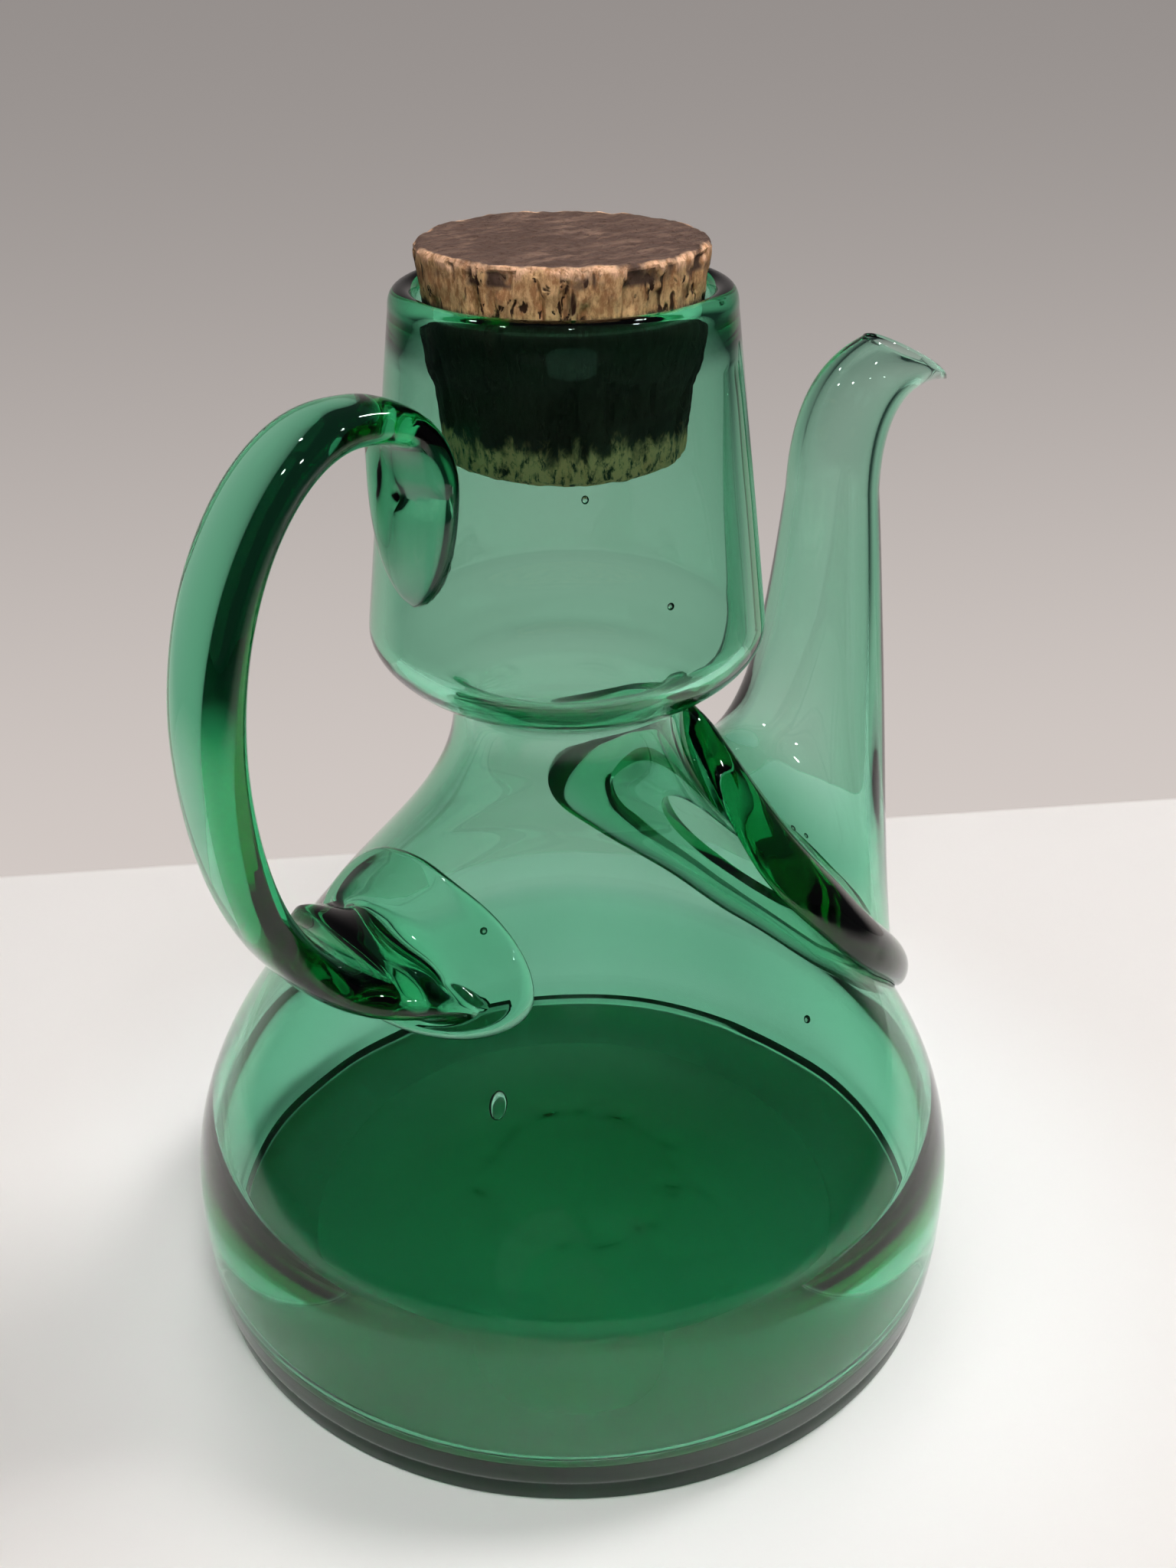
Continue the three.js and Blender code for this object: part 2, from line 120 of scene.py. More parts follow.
class CarafeVesselSizes(bpy.types.PropertyGroup):
    """Radii and heights of the blown vessel, from its own axis."""
    body_radius: length("Body radius", (VESSEL_HIGH.y - VESSEL_LOW.y) / 2 / MM, "Widest radius of the body")
    widest_height: length("Widest height", 24, "Height of the widest place of the body")
    body_curl: length("Body curl", 21, "How far the body keeps upright above its widest place")
    shoulder_radius: length("Shoulder radius", 50.4, "Radius in the middle of the shoulder")
    shoulder_height: length("Shoulder height", 77.8, "Height of the middle of the shoulder")
    shoulder_slope: angle("Shoulder slope", 53.8, "Slope of the shoulder from level")
    shoulder_curl: length("Shoulder curl", 19, "How far the shoulder keeps its slope")
    waist_radius: length("Waist radius", 21.3, "Radius of the pinched waist")
    waist_height: length("Waist height", 125.5, "Height of the pinched waist")
    waist_curl: length("Waist curl", 18, "How far the waist keeps upright below its pinch")
    waist_fillet: length("Waist fillet", 3.4, "Rounding between the waist and the collar")
    collar_floor_radius: length("Collar floor radius", 29.5, "Where the collar's underside turns up")
    collar_floor_height: length("Collar floor height", 132.6, "Height of that turn")
    collar_radius: length("Collar radius", 35.8, "Widest radius of the collar")
    collar_widest_height: length("Collar widest height", 141.5, "Height of the collar's widest place")
    collar_curl: length("Collar curl", 4.4, "Rounding of the collar's lower edge")
    rim_radius: length("Rim radius", 29.2, "Outer radius of the rim")
    rim_rounding: length("Rim rounding", 3.4, "Rounding over the rim")
    rim_depth: length("Rim depth", 10, "Height over which the rim thickens")
    wall: length("Wall", 3, "Thickness of the blown wall")
    heel_height: length("Heel height", 39, "Height below which the wall thickens")
    heel_bulge: length("Heel bulge", 1.0, "How much the inside widens from there to the floor")
    heel_rounding: length("Heel rounding", 8, "Rounding inside the heel")
    floor_thickness: length("Floor thickness", 5.5, "Thickness of the floor at the heel")
    floor_rise: length("Floor rise", 10.5, "How far the middle of the floor rises")
    foot_radius: length("Foot radius", 76.2, "Outer radius of the foot")
    foot_rounding: length("Foot rounding", 1.2, "Rounding under the foot")
    foot_line_height: length("Foot line height", 4.6, "Height of the moulded line round the foot")
    foot_line_depth: length("Foot line depth", 0.9, "Depth of that line")
    lip_radius: length("Lip radius", 77.2, "Outer radius of the lip above the line")
    resting_ring: length("Resting ring", 62, "Inner radius of the ring that it stands on")
    push_up: length("Push-up", 7, "Height of the pushed-up middle of the floor")


class CarafeSpoutSizes(bpy.types.PropertyGroup):
    """Sizes of the pouring spout, with its reaches from the vessel's axis."""
    root_reach: length("Root reach", 52, "Reach of the middle of the flange")
    root_height: length("Root height", 76.5, "Height of the middle of the flange")
    root_tilt: angle("Root tilt", 33, "How far the flange looks up from level")
    flange_half_width: length("Flange half width", 42.5, "Half of the flange across the carafe")
    flange_half_length: length("Flange half length", 49, "Half of the flange along the slope")
    flange_thickness: length("Flange thickness", 6, "Height of the flange's rolled edge")
    flange_roll: length("Flange roll", 9, "Width of the flange's rolled edge")
    hole_half_width: length("Hole half width", 17, "Half of the hole in the shoulder across the carafe")
    hole_half_length: length("Hole half length", 22, "Half of the hole along the slope")
    hole_depth: length("Hole depth", 14, "How deep the hole's cutter reaches")
    bell_reach: length("Bell reach", 92, "Point that the bell's sides start towards")
    bell_pull: factor("Bell pull", 0.45, "How strongly they start towards it")
    bell_drop: length("Bell drop", 3.5, "How far the bell sits down the slope")
    bell_flare: factor("Bell flare", 1.5, "How much wider the bell is where its curve ends")
    bell_curl: length("Bell curl", 44, "How far the bell rises before the neck")
    neck_reach: length("Neck reach", 70.4, "Reach of the neck's middle")
    neck_height: length("Neck height", 150, "Height of the narrowest place of the neck")
    neck_radius: length("Neck radius", 9.5, "Radius of the neck")
    neck_curl: length("Neck curl", 17, "How far the neck keeps upright")
    mouth_reach: length("Mouth reach", 89.98, "Reach of the mouth's middle")
    mouth_height: length("Mouth height", 172.8, "Height of the mouth's middle")
    mouth_curl: length("Mouth curl", 12, "How far the neck runs level before the mouth")
    mouth_half_length: length("Mouth half length", 12.2, "Half of the mouth along the pour")
    mouth_half_width: length("Mouth half width", 7.6, "Half of the mouth across the pour")
    mouth_tilt: angle("Mouth tilt", 30, "How far the mouth tips down to the pour")
    wall: length("Wall", 2.4, "Thickness of the spout's wall")


class CarafeHandleSizes(bpy.types.PropertyGroup):
    """Sizes of the strap handle, with its reaches from the vessel's axis."""
    pad_height: length("Pad height", 89.8, "Height of the pad's middle on the shoulder")
    pad_half_width: length("Pad half width", 29.5, "Half of the pad across the carafe")
    pad_half_length: length("Pad half length", 14.5, "Half of the pad along the slope")
    pad_thickness: length("Pad thickness", 2.4, "Thickness of the pad's border")
    pad_border: length("Pad border", 6, "Width of the pad's border")
    pad_drop: length("Pad drop", 3.5, "How far the strap's root sits down the slope")
    root_reach: length("Root reach", 50, "Reach of the strap's root")
    root_height: length("Root height", 88.6, "Height of the strap's root")
    root_width: length("Root width", 42, "Width of the strap at its root")
    root_thickness: length("Root thickness", 9.5, "Thickness of the strap at its root")
    root_curl: length("Root curl", 14, "How far the strap runs level from its root")
    root_stub: length("Root stub", 4, "How straight the root leaves the pad")
    root_spread: factor("Root spread", 0.08, "How much the root opens towards the pad")
    root_melt: factor("Root melt", 0.6, "How flat the root's upper side runs out into the pad")
    reach: length("Handle reach", (AXIS_X - HANDLE_LOW.x) / MM, "Furthest reach of the strap's outer face")
    apex_height: length("Apex height", 137, "Height of that place")
    lower_curl: length("Lower curl", 27, "Upright stretch below it")
    upper_curl: length("Upper curl", 27, "Upright stretch above it")
    width: length("Strap width", 18, "Width of the strap")
    thickness: length("Strap thickness", 8.4, "Thickness of the strap")
    top_width: length("Top width", 15, "Width of the strap over the top")
    top_thickness: length("Top thickness", 7, "Thickness of the strap over the top")
    top_reach: length("Top reach", 45, "Reach where the strap runs level")
    top_height: length("Top height", 186, "Height of the strap's middle there")
    top_curl: length("Top curl", 15, "Level stretch before that")
    tongue_width: length("Tongue width", 22, "Width of the tongue pressed onto the collar")
    tongue_thickness: length("Tongue thickness", 6.5, "Thickness of the tongue")
    tongue_widest: length("Tongue widest", 176, "Height of the tongue's widest place")
    tongue_tip: length("Tongue tip", 153, "Height of the tongue's tip")
    tongue_turn: angle("Tongue turn", 2.5, "How far round the collar the tongue sits")


class CarafeCorkSizes(bpy.types.PropertyGroup):
    """Sizes of the tapered cork."""
    top_radius: length("Top radius", (CORK_HIGH.y - CORK_LOW.y) / 2 / MM, "Radius of the cork's top")
    bottom_radius: length("Bottom radius", 21, "Radius of the cork's bottom")
    edge: length("Edge", 1.2, "Worn edge round the top and the bottom")
    clearance: length("Clearance", 0.3, "Gap between the cork and the rim")
    roughness: length("Roughness", 0.45, "Depth of the cork's uneven side")
    crack: length("Crack", 0.9, "Depth of the cracks round the side")


class CarafeGlassLook(bpy.types.PropertyGroup):
    """Colour and finish of the blown glass."""
    tint: colour("Tint", (0.10, 0.78, 0.52), "Colour that the glass lets through")
    density: factor("Density", 185, "How fast the glass takes its colour")
    index: factor("Index", 1.5, "Index of refraction")
    roughness: factor("Roughness", 0.006, "Roughness of the fire-polished surface")
    worn: factor("Worn foot", 0.4, "Roughness of the ring that it stands on")
    ripple: length("Ripple", 0.12, "Height of the waves that blowing leaves in the wall")


class CarafeCorkLook(bpy.types.PropertyGroup):
    """Colours of the natural cork."""
    bark: colour("Bark", (0.11, 0.06, 0.042), "Stained top")
    bark_light: colour("Light bark", (0.26, 0.155, 0.11), "Worn places of the top")
    edge: colour("Edge", (0.95, 0.58, 0.36), "Fresh cork at the worn edge")
    side: colour("Side", (0.52, 0.235, 0.095), "Rough side")
    side_light: colour("Light side", (0.88, 0.55, 0.27), "Pale grain of the side")
    # Partly a drink stain, partly painted shade: the side within the mouth is painted dark
    drink_stain_and_painted_shade: colour("Wet side", (0.035, 0.025, 0.015), "Side within the mouth, dark with drink")
    pit: colour("Pit", (0.05, 0.018, 0.008), "Inside of the pits")


class CarafeStageLook(bpy.types.PropertyGroup):
    """Floor, light and camera."""
    table: colour("Table", (0.81, 0.765, 0.735), "Floor round the carafe")
    # Painted light: the table right under the carafe is painted paler
    table_painted_light: colour("Near table", (0.90, 0.88, 0.86), "Table right under the carafe")
    far: colour("Backdrop", (0.65, 0.59, 0.56), "Backdrop where it meets the table")
    dark: colour("Dark", (0.035, 0.035, 0.038), "Room round the table")
    lens: factor("Lens", 39.55, "Focal length on a 36 mm high frame")


GROUPS = {
    "carafe_vessel": CarafeVesselSizes,
    "carafe_spout": CarafeSpoutSizes,
    "carafe_handle": CarafeHandleSizes,
    "carafe_cork": CarafeCorkSizes,
    "carafe_glass": CarafeGlassLook,
    "carafe_cork_look": CarafeCorkLook,
    "carafe_stage": CarafeStageLook,
}


# Objects and edit mode

def deselect_all():
    for other in bpy.context.view_layer.objects:
        other.select_set(False)


def activate(piece):
    deselect_all()
    piece.select_set(True)
    bpy.context.view_layer.objects.active = piece


@contextmanager
def editing(piece):
    activate(piece)
    bpy.ops.object.mode_set(mode="EDIT")
    bpy.ops.mesh.select_all(action="SELECT")
    yield
    bpy.ops.object.mode_set(mode="OBJECT")


def new_object(name, data):
    made = bpy.data.objects.new(name, data)
    bpy.context.scene.collection.objects.link(made)
    return made


def new_piece(name, points, edges, faces):
    mesh = bpy.data.meshes.new(name)
    mesh.from_pydata(np.asarray(points).tolist(), edges, faces)
    return new_object(name, mesh)


def close_surface():
    """In edit mode: merges what lies together and turns the faces outwards."""
    bpy.ops.mesh.select_all(action="SELECT")
    bpy.ops.mesh.remove_doubles(threshold=MERGE_REACH)
    bpy.ops.mesh.normals_make_consistent(inside=False)


def point_values(mesh, field):
    values = np.empty(len(mesh.vertices) * 3)
    mesh.vertices.foreach_get(field, values)
    return values.reshape(-1, 3)


def coordinates(mesh):
    return point_values(mesh, "co")


def vertex_normals(mesh):
    return point_values(mesh, "normal")


def move_points(mesh, points):
    mesh.vertices.foreach_set("co", np.ascontiguousarray(points, dtype=np.float32).ravel())
    mesh.update()


def press_in(mesh, depths):
    """Moves each point inwards by its depth, square to the surface."""
    move_points(mesh, coordinates(mesh) - vertex_normals(mesh) * depths[:, None])


def smooth_shading(piece):
    activate(piece)
    bpy.ops.object.shade_smooth_by_angle(angle=math.radians(SMOOTH_ANGLE))


def apply_modifier(piece, kind, **values):
    activate(piece)
    modifier = piece.modifiers.new(kind.title(), kind)
    for name, value in values.items():
        setattr(modifier, name, value)
    bpy.ops.object.modifier_apply(modifier=modifier.name)


# Lines

def bezier(corners, steps):
    """Points along a Bezier curve of any order; a corner may be a whole ring."""
    corners = np.asarray(corners, float)
    order = len(corners) - 1
    at = np.linspace(0, 1, steps + 1)
    weights = [math.comb(order, i) * at ** i * (1 - at) ** (order - i) for i in range(order + 1)]
    return np.tensordot(np.array(weights).T, corners, 1)


def lengths_along(points):
    steps = np.linalg.norm(np.diff(points, axis=0), axis=1)
    return np.concatenate([[0], np.cumsum(steps)])


def evenly(points, spacing):
    """The same line with its points about a spacing apart."""
    along = lengths_along(points)
    count = max(2, round(along[-1] / spacing))
    at = np.linspace(0, along[-1], count + 1)
    return np.stack([np.interp(at, along, column) for column in points.T], axis=1)


def softened(points, reach):
    """A line with its corners rounded over a reach, its ends kept."""
    fine = evenly(points, FINE_SPACING)
    half = round(reach / FINE_SPACING)
    weights = np.hanning(2 * half + 3)[1:-1]
    before = 2 * fine[0] - fine[half:0:-1]
    after = 2 * fine[-1] - fine[-2:-half - 2:-1]
    padded = np.concatenate([before, fine, after])
    columns = [np.convolve(column, weights / weights.sum(), "valid") for column in padded.T]
    return np.stack(columns, axis=1)


def ways_along(points):
    ways = np.gradient(points, axis=0)
    return ways / np.linalg.norm(ways, axis=1)[:, None]


def offset(points, distance):
    """A half outline moved square to itself, positive outwards."""
    along = ways_along(points)
    return points + distance * np.stack([along[:, 1], -along[:, 0]], axis=1)


def radius_at(profile, heights):
    order = np.argsort(profile[:, 1])
    return np.interp(heights, profile[order, 1], profile[order, 0])


def fade(value):
    """Falls from 1 at 0 to 0 at 1, and stays there."""
    return np.clip(1 - value, 0, 1) ** 2


def ease(value):
    """Rises smoothly from 0 at 0 to 1 at 1, and stays there."""
    value = np.clip(value, 0, 1)
    return value * value * (3 - 2 * value)


def blend(first, second, share):
    return first + (second - first) * share


def noise_at(points, size=1, shift=(0, 0, 0)):
    """Smooth noise between -1 and 1 at each point, its waves about a size long."""
    return np.array([noise.noise(Vector(point) / size + Vector(shift)) for point in points])


# Vessel outline

EDGE_SOFTNESS = 0.8 * MM


def outline(sizes):
    """The outside of the vessel as (radius, height) points from the foot to the rim's shoulder."""
    slope = sizes.shoulder_slope
    curl = sizes.shoulder_curl * np.array([-math.cos(slope), math.sin(slope)])
    foot = np.array([sizes.foot_radius, sizes.foot_rounding])
    line = sizes.foot_line_height
    depth = sizes.foot_line_depth
    widest = np.array([sizes.body_radius, sizes.widest_height])
    shoulder = np.array([sizes.shoulder_radius, sizes.shoulder_height])
    waist = np.array([sizes.waist_radius, sizes.waist_height])
    floor = np.array([sizes.collar_floor_radius, sizes.collar_floor_height])
    waist_end = (waist + floor) / 2 + sizes.waist_fillet / 4 * np.array([-1, 1])
    collar = np.array([sizes.collar_radius, sizes.collar_widest_height])
    rim = np.array([sizes.rim_radius, VESSEL_HIGH.z - sizes.rim_rounding])
    up = np.array([0, 1])
    stretches = [
        bezier([[foot[0] - foot[1], 0], [foot[0], 0], foot], 8),
        [[foot[0], line - depth], [foot[0] - depth / 2, line], [sizes.lip_radius, line + depth]],
        bezier([[sizes.lip_radius, line + 3 * depth], [widest[0], widest[1] / 2], widest], 24),
        bezier([widest, widest + sizes.body_curl * up, shoulder - curl, shoulder], 40)[1:],
        bezier([shoulder, shoulder + curl, waist - sizes.waist_curl * up, waist], 40)[1:],
        bezier([waist, waist + sizes.waist_fillet * up, waist_end], 12)[1:],
        bezier([floor, collar - sizes.collar_curl * up, collar], 16),
        [rim],
    ]
    return softened(np.concatenate(stretches), EDGE_SOFTNESS)


def cork_radius_at(cork, height):
    return blend(cork.top_radius, cork.bottom_radius, (CORK_HIGH.z - height) / (CORK_HIGH.z - CORK_LOW.z))


def rim_outline(sizes, cork):
    """Over the rim, from its outer shoulder into the mouth."""
    top = VESSEL_HIGH.z
    shoulder = top - sizes.rim_rounding
    mouth = cork_radius_at(cork, shoulder) + cork.clearance
    flare = cork_radius_at(cork, top) + cork.clearance
    crest = [(sizes.rim_radius + mouth) / 2, top]
    outer = bezier([[sizes.rim_radius, shoulder], [sizes.rim_radius, top], crest], 10)
    inner = bezier([crest, [flare, top], [mouth, shoulder]], 10)
    return np.concatenate([outer[1:], inner[1:]])


def dome(height, edge_radius, push_up):
    """A pushed-up middle from the axis out to an edge."""
    shoulder = 0.7 * edge_radius
    return bezier([[0, height + push_up], [edge_radius / 2, height + push_up], [shoulder, height],
                   [edge_radius, height]], 40)


def vessel_outline(sizes, cork):
    """The whole half outline of the vessel, from the axis under its floor to the axis above it."""
    outer = outline(sizes)
    inner = softened(offset(outer, -sizes.wall), EDGE_SOFTNESS)
    rim_foot = VESSEL_HIGH.z - sizes.rim_depth
    side = inner[(inner[:, 1] > sizes.heel_height) & (inner[:, 1] < rim_foot)][::-1]
    corner = np.array([side[-1][0] + sizes.heel_bulge, sizes.floor_thickness])
    heel = [corner + [0, sizes.heel_rounding], corner, corner - [sizes.heel_rounding, 0]]
    inside = np.concatenate([
        rim_outline(sizes, cork)[-1:], side, bezier(heel, 20),
        dome(sizes.floor_thickness, heel[-1][0], sizes.floor_rise)[::-1][1:],
    ])
    return np.concatenate([
        evenly(dome(0, sizes.resting_ring, sizes.push_up), LINE_SPACING),
        evenly(outer, LINE_SPACING),
        rim_outline(sizes, cork)[:-1],
        evenly(softened(inside, EDGE_SOFTNESS), LINE_SPACING),
    ])


# Bodies

def turned(name, profile, steps):
    """A closed body of revolution about the vessel's axis, spun from its half outline."""
    points = [(AXIS_X + radius, 0, height) for radius, height in profile]
    edges = [(i, i + 1) for i in range(len(points) - 1)]
    piece = new_piece(name, points, edges, [])
    with editing(piece):
        bpy.ops.mesh.spin(steps=steps, angle=2 * math.pi, center=(AXIS_X, 0, 0), axis=(0, 0, 1))
        close_surface()
    return piece


def ring_faces(count, ring_count, wrapped):
    faces = []
    for ring in range(ring_count if wrapped else ring_count - 1):
        low, high = ring * count, (ring + 1) % ring_count * count
        for i in range(count):
            after = (i + 1) % count
            faces.append((low + i, low + after, high + after, high + i))
    return faces


def lofted(name, rings, wrapped=False):
    """A closed body through rings that follow each other, wrapped end to start or closed at both ends."""
    count = len(rings[0])
    points = np.concatenate(rings)
    faces = ring_faces(count, len(rings), wrapped)
    if not wrapped:
        faces += [tuple(range(count)), tuple(range(len(points) - count, len(points)))]
    piece = new_piece(name, points, [], faces)
    with editing(piece):
        if not wrapped:
            bpy.ops.mesh.select_all(action="DESELECT")
            bpy.ops.mesh.select_mode(type="FACE")
            bpy.ops.mesh.select_face_by_sides(number=4, type="GREATER")
            bpy.ops.mesh.poke()
            bpy.ops.mesh.select_mode(type="VERT")
        close_surface()
    return piece


def rippled(piece, height, wavelength, seed, weights=None):
    """Waves in the surface, inwards only, so that the piece keeps within its outline."""
    waves = noise_at(coordinates(piece.data), wavelength, (seed, 2 * seed, 3 * seed))
    depth = height * (0.5 + 0.5 * waves)
    if weights is not None:
        depth *= weights
    press_in(piece.data, depth)


# Rings on the vessel

def turn_angles():
    return np.arange(LOOP_STEPS) * 2 * math.pi / LOOP_STEPS


class Seat:
    """A place on the vessel with its ways out, across and up, relative to the vessel's axis."""

    def __init__(self, centre, out, across):
        self.centre, self.out, self.across = (np.asarray(v, float) for v in (centre, out, across))
        self.up = np.cross(self.out, self.across)

    def ring(self, half_width, half_length, drop=0, wobble=0, seed=0):
        """An oval ring round the seat, slid down by a drop, its outline a little uneven."""
        turn = turn_angles()
        around = np.stack([2 * np.cos(turn), 2 * np.sin(turn), np.full(len(turn), seed)], axis=1)
        size = 1 + wobble * noise_at(around)
        return (self.centre + np.outer(half_width * size * np.cos(turn), self.across)
                + np.outer(half_length * size * np.sin(turn) - drop, self.up))


def dropped_onto(profile, starts, out):
    """Points moved along one way until they lie on a body of revolution."""
    low = np.full(len(starts), -DROP_REACH)
    high = np.full(len(starts), DROP_REACH)
    for _ in range(DROP_HALVINGS):
        middle = (low + high) / 2
        points = starts + middle[:, None] * out
        outside = np.hypot(points[:, 0], points[:, 1]) > radius_at(profile, points[:, 2])
        high = np.where(outside, middle, high)
        low = np.where(outside, low, middle)
    return starts + high[:, None] * out


def ovals_on_glass(seat, outer, half_width, half_length, seed):
    """Gives a function for oval rings round a seat, by how far they lie in from its edge and off the glass."""
    def ring(inset, lift, drop=0):
        start = seat.ring(half_width - inset, half_length - inset, drop, OVAL_WOBBLE, seed)
        return dropped_onto(offset(outer, lift), start, seat.out)

    return ring


OVAL_WOBBLE = 0.03


def flared(foot, foot_pull, end_pull, end, steps):
    """Rings from a foot ring to an end ring, as curves that leave and arrive by their pulls."""
    return list(bezier([foot, foot_pull, end_pull, end], steps))


def placed(rings):
    """Rings moved from the vessel's axis to the frame."""
    return [ring + np.array([AXIS_X, 0, 0]) for ring in rings]


# Spout

def spout_seat(sizes):
    tilt = sizes.root_tilt
    return Seat([sizes.root_reach, 0, sizes.root_height], [math.cos(tilt), 0, math.sin(tilt)], [0, 1, 0])


def spout_ring(centre, tilt, half_length, half_width):
    """An oval ring across the spout, tipped down towards the pouring side."""
    turn = turn_angles()
    along = np.array([math.cos(tilt), 0, -math.sin(tilt)])
    return (np.asarray(centre) + np.outer(half_width * np.cos(turn), [0, 1, 0])
            - np.outer(half_length * np.sin(turn), along))


def spout_rings(sizes, foot, inset):
    """Rings from a foot ring up through the bell and the neck to the mouth."""
    neck = np.array([sizes.neck_reach, 0, sizes.neck_height])
    bell = np.array([sizes.bell_reach, 0, sizes.root_height])
    mouth = np.array([sizes.mouth_reach, 0, sizes.mouth_height])
    up = np.array([0, 0, 1])
    end = spout_ring(neck, 0, sizes.neck_radius - inset, sizes.neck_radius - inset)
    start_pull = blend(foot, bell, sizes.bell_pull)
    end_pull = blend(neck, end, sizes.bell_flare) - sizes.bell_curl * up
    rings = flared(foot, start_pull, end_pull, end, 36)
    route = bezier([neck, neck + sizes.neck_curl * up, mouth - [sizes.mouth_curl, 0, 0], mouth], 24)
    shares = np.linspace(0, 1, 25)
    for centre, share in zip(route[1:], shares[1:]):
        half_length = blend(sizes.neck_radius, sizes.mouth_half_length, share ** 2)
        half_width = blend(sizes.neck_radius, sizes.mouth_half_width, share)
        rings.append(spout_ring(centre, sizes.mouth_tilt * share, half_length - inset, half_width - inset))
    return rings


# How far the spout's flange and the handle's pad tuck in under their edges, and the pad's innermost ring
FLANGE_TUCK = 1 * MM
PAD_TUCK = 0.6 * MM
PAD_HOLE = 0.2 * MM


def spout_body_rings(sizes, outer):
    """The spout's rings: over the flange, up the outside, over the lip, down the bore and back underneath."""
    flange = ovals_on_glass(spout_seat(sizes), outer, sizes.flange_half_width, sizes.flange_half_length, 3)
    roll, thickness = sizes.flange_roll, sizes.flange_thickness
    bore_inset = roll + sizes.wall
    edge = bezier([[FLANGE_TUCK, WELD_GAP], [-0.8 * FLANGE_TUCK, 0.25 * thickness], [0, thickness],
                   [roll / 2, thickness]], 9)
    crest = bezier([[roll / 2, thickness], [0.85 * roll, thickness], [roll, 0.8 * thickness]], 6)
    drops = np.linspace(0, sizes.bell_drop, 7)
    outside = [flange(inset, lift) for inset, lift in edge]
    outside += [flange(inset, lift, drop) for (inset, lift), drop in zip(crest[1:], drops[1:])]
    outside += spout_rings(sizes, outside[-1], 0)[1:]
    bore = spout_rings(sizes, flange(bore_inset, WELD_GAP, sizes.bell_drop), sizes.wall)
    tilt = sizes.mouth_tilt
    beyond = sizes.wall / 2 * np.array([math.sin(tilt), 0, math.cos(tilt)])
    lip = bezier([outside[-1], outside[-1] + beyond, bore[-1] + beyond, bore[-1]], 6)[1:-1]
    under = [flange(inset, WELD_GAP, sizes.bell_drop * share)
             for inset, share in np.linspace([bore_inset, 1], [FLANGE_TUCK, 0], 9)[1:-1]]
    return outside + list(lip) + bore[::-1] + under


# Handle

STRAP_SQUARENESS = 0.8
TONGUE_BEND = 2 * MM


def strap_ring(centre, along, width, thickness):
    """A flat oval ring across the strap."""
    turn = turn_angles()
    across = np.array([along[2], 0, -along[0]])
    side, rise = (np.sign(v) * np.abs(v) ** STRAP_SQUARENESS for v in (np.cos(turn), np.sin(turn)))
    return (np.asarray(centre) - np.outer(width / 2 * side, [0, 1, 0])
            + np.outer(thickness / 2 * rise, across))


def strap_route(sizes, outer):
    """The strap's middle line as stretches: up from the root, over the top and down the collar."""
    def line(steps, *corners):
        return bezier([[-reach, 0, height] for reach, height in corners], steps)

    root = (sizes.root_reach, sizes.root_height)
    apex = (sizes.reach - sizes.thickness / 2, sizes.apex_height)
    top = (sizes.top_reach, sizes.top_height)
    seat = (float(radius_at(outer, sizes.tongue_widest)) + sizes.tongue_thickness / 4, sizes.tongue_widest)
    tip = (float(radius_at(outer, sizes.tongue_tip)), sizes.tongue_tip)
    return [
        line(60, root, (root[0] + sizes.root_curl, root[1]), (apex[0], apex[1] - sizes.lower_curl), apex),
        line(60, apex, (apex[0], apex[1] + sizes.upper_curl), (top[0] + sizes.top_curl, top[1]), top),
        line(30, top, (seat[0] + TONGUE_BEND, top[1]), (seat[0], top[1] - TONGUE_BEND), seat),
        line(1, seat, tip),
    ]


def strap_rings(sizes, outer):
    stretches = strap_route(sizes, outer)
    route = evenly(np.concatenate([stretches[0]] + [s[1:] for s in stretches[1:]]), LINE_SPACING)
    far = lengths_along(route)
    free = lengths_along(np.concatenate([stretches[0], stretches[1][1:]]))[-1]
    rings = []
    for centre, way, reached in zip(route, ways_along(route), far):
        share = min(reached / free, 1)
        tongue = max(0, (reached - free) / (far[-1] - free))
        low, high = fade(4 * share), fade(2 * (1 - share))
        widen = ease(tongue * 2.2)
        width, thickness = (
            blend(middle + (root - middle) * low + (top - middle) * high, end, widen)
            for middle, root, top, end in (
                (sizes.width, sizes.root_width, sizes.top_width, sizes.tongue_width),
                (sizes.thickness, sizes.root_thickness, sizes.top_thickness, sizes.tongue_thickness),
            )
        )
        close = np.clip((tongue - 0.4) / 0.6, 0, 1)
        width *= max(1e-3, 1 - close ** 2.4) ** 0.6
        thickness *= max(1e-3, 1 - close ** 3) ** 0.5
        ring = strap_ring(centre, way, width, thickness)
        rings.append(turned_round(ring, sizes.tongue_turn * ease(tongue * 2)))
    return rings


def turned_round(ring, angle_round):
    turn = np.array(Matrix.Rotation(angle_round, 3, "Z"))
    return ring @ turn.T


def pressed_onto(profile, ring):
    """A ring with what reaches into the vessel pressed out to its surface."""
    reach = np.hypot(ring[:, 0], ring[:, 1])
    surface = radius_at(profile, ring[:, 2])
    grow = np.where(reach < surface, surface / reach, 1)
    return ring * np.stack([grow, grow, np.ones(len(ring))], axis=1)


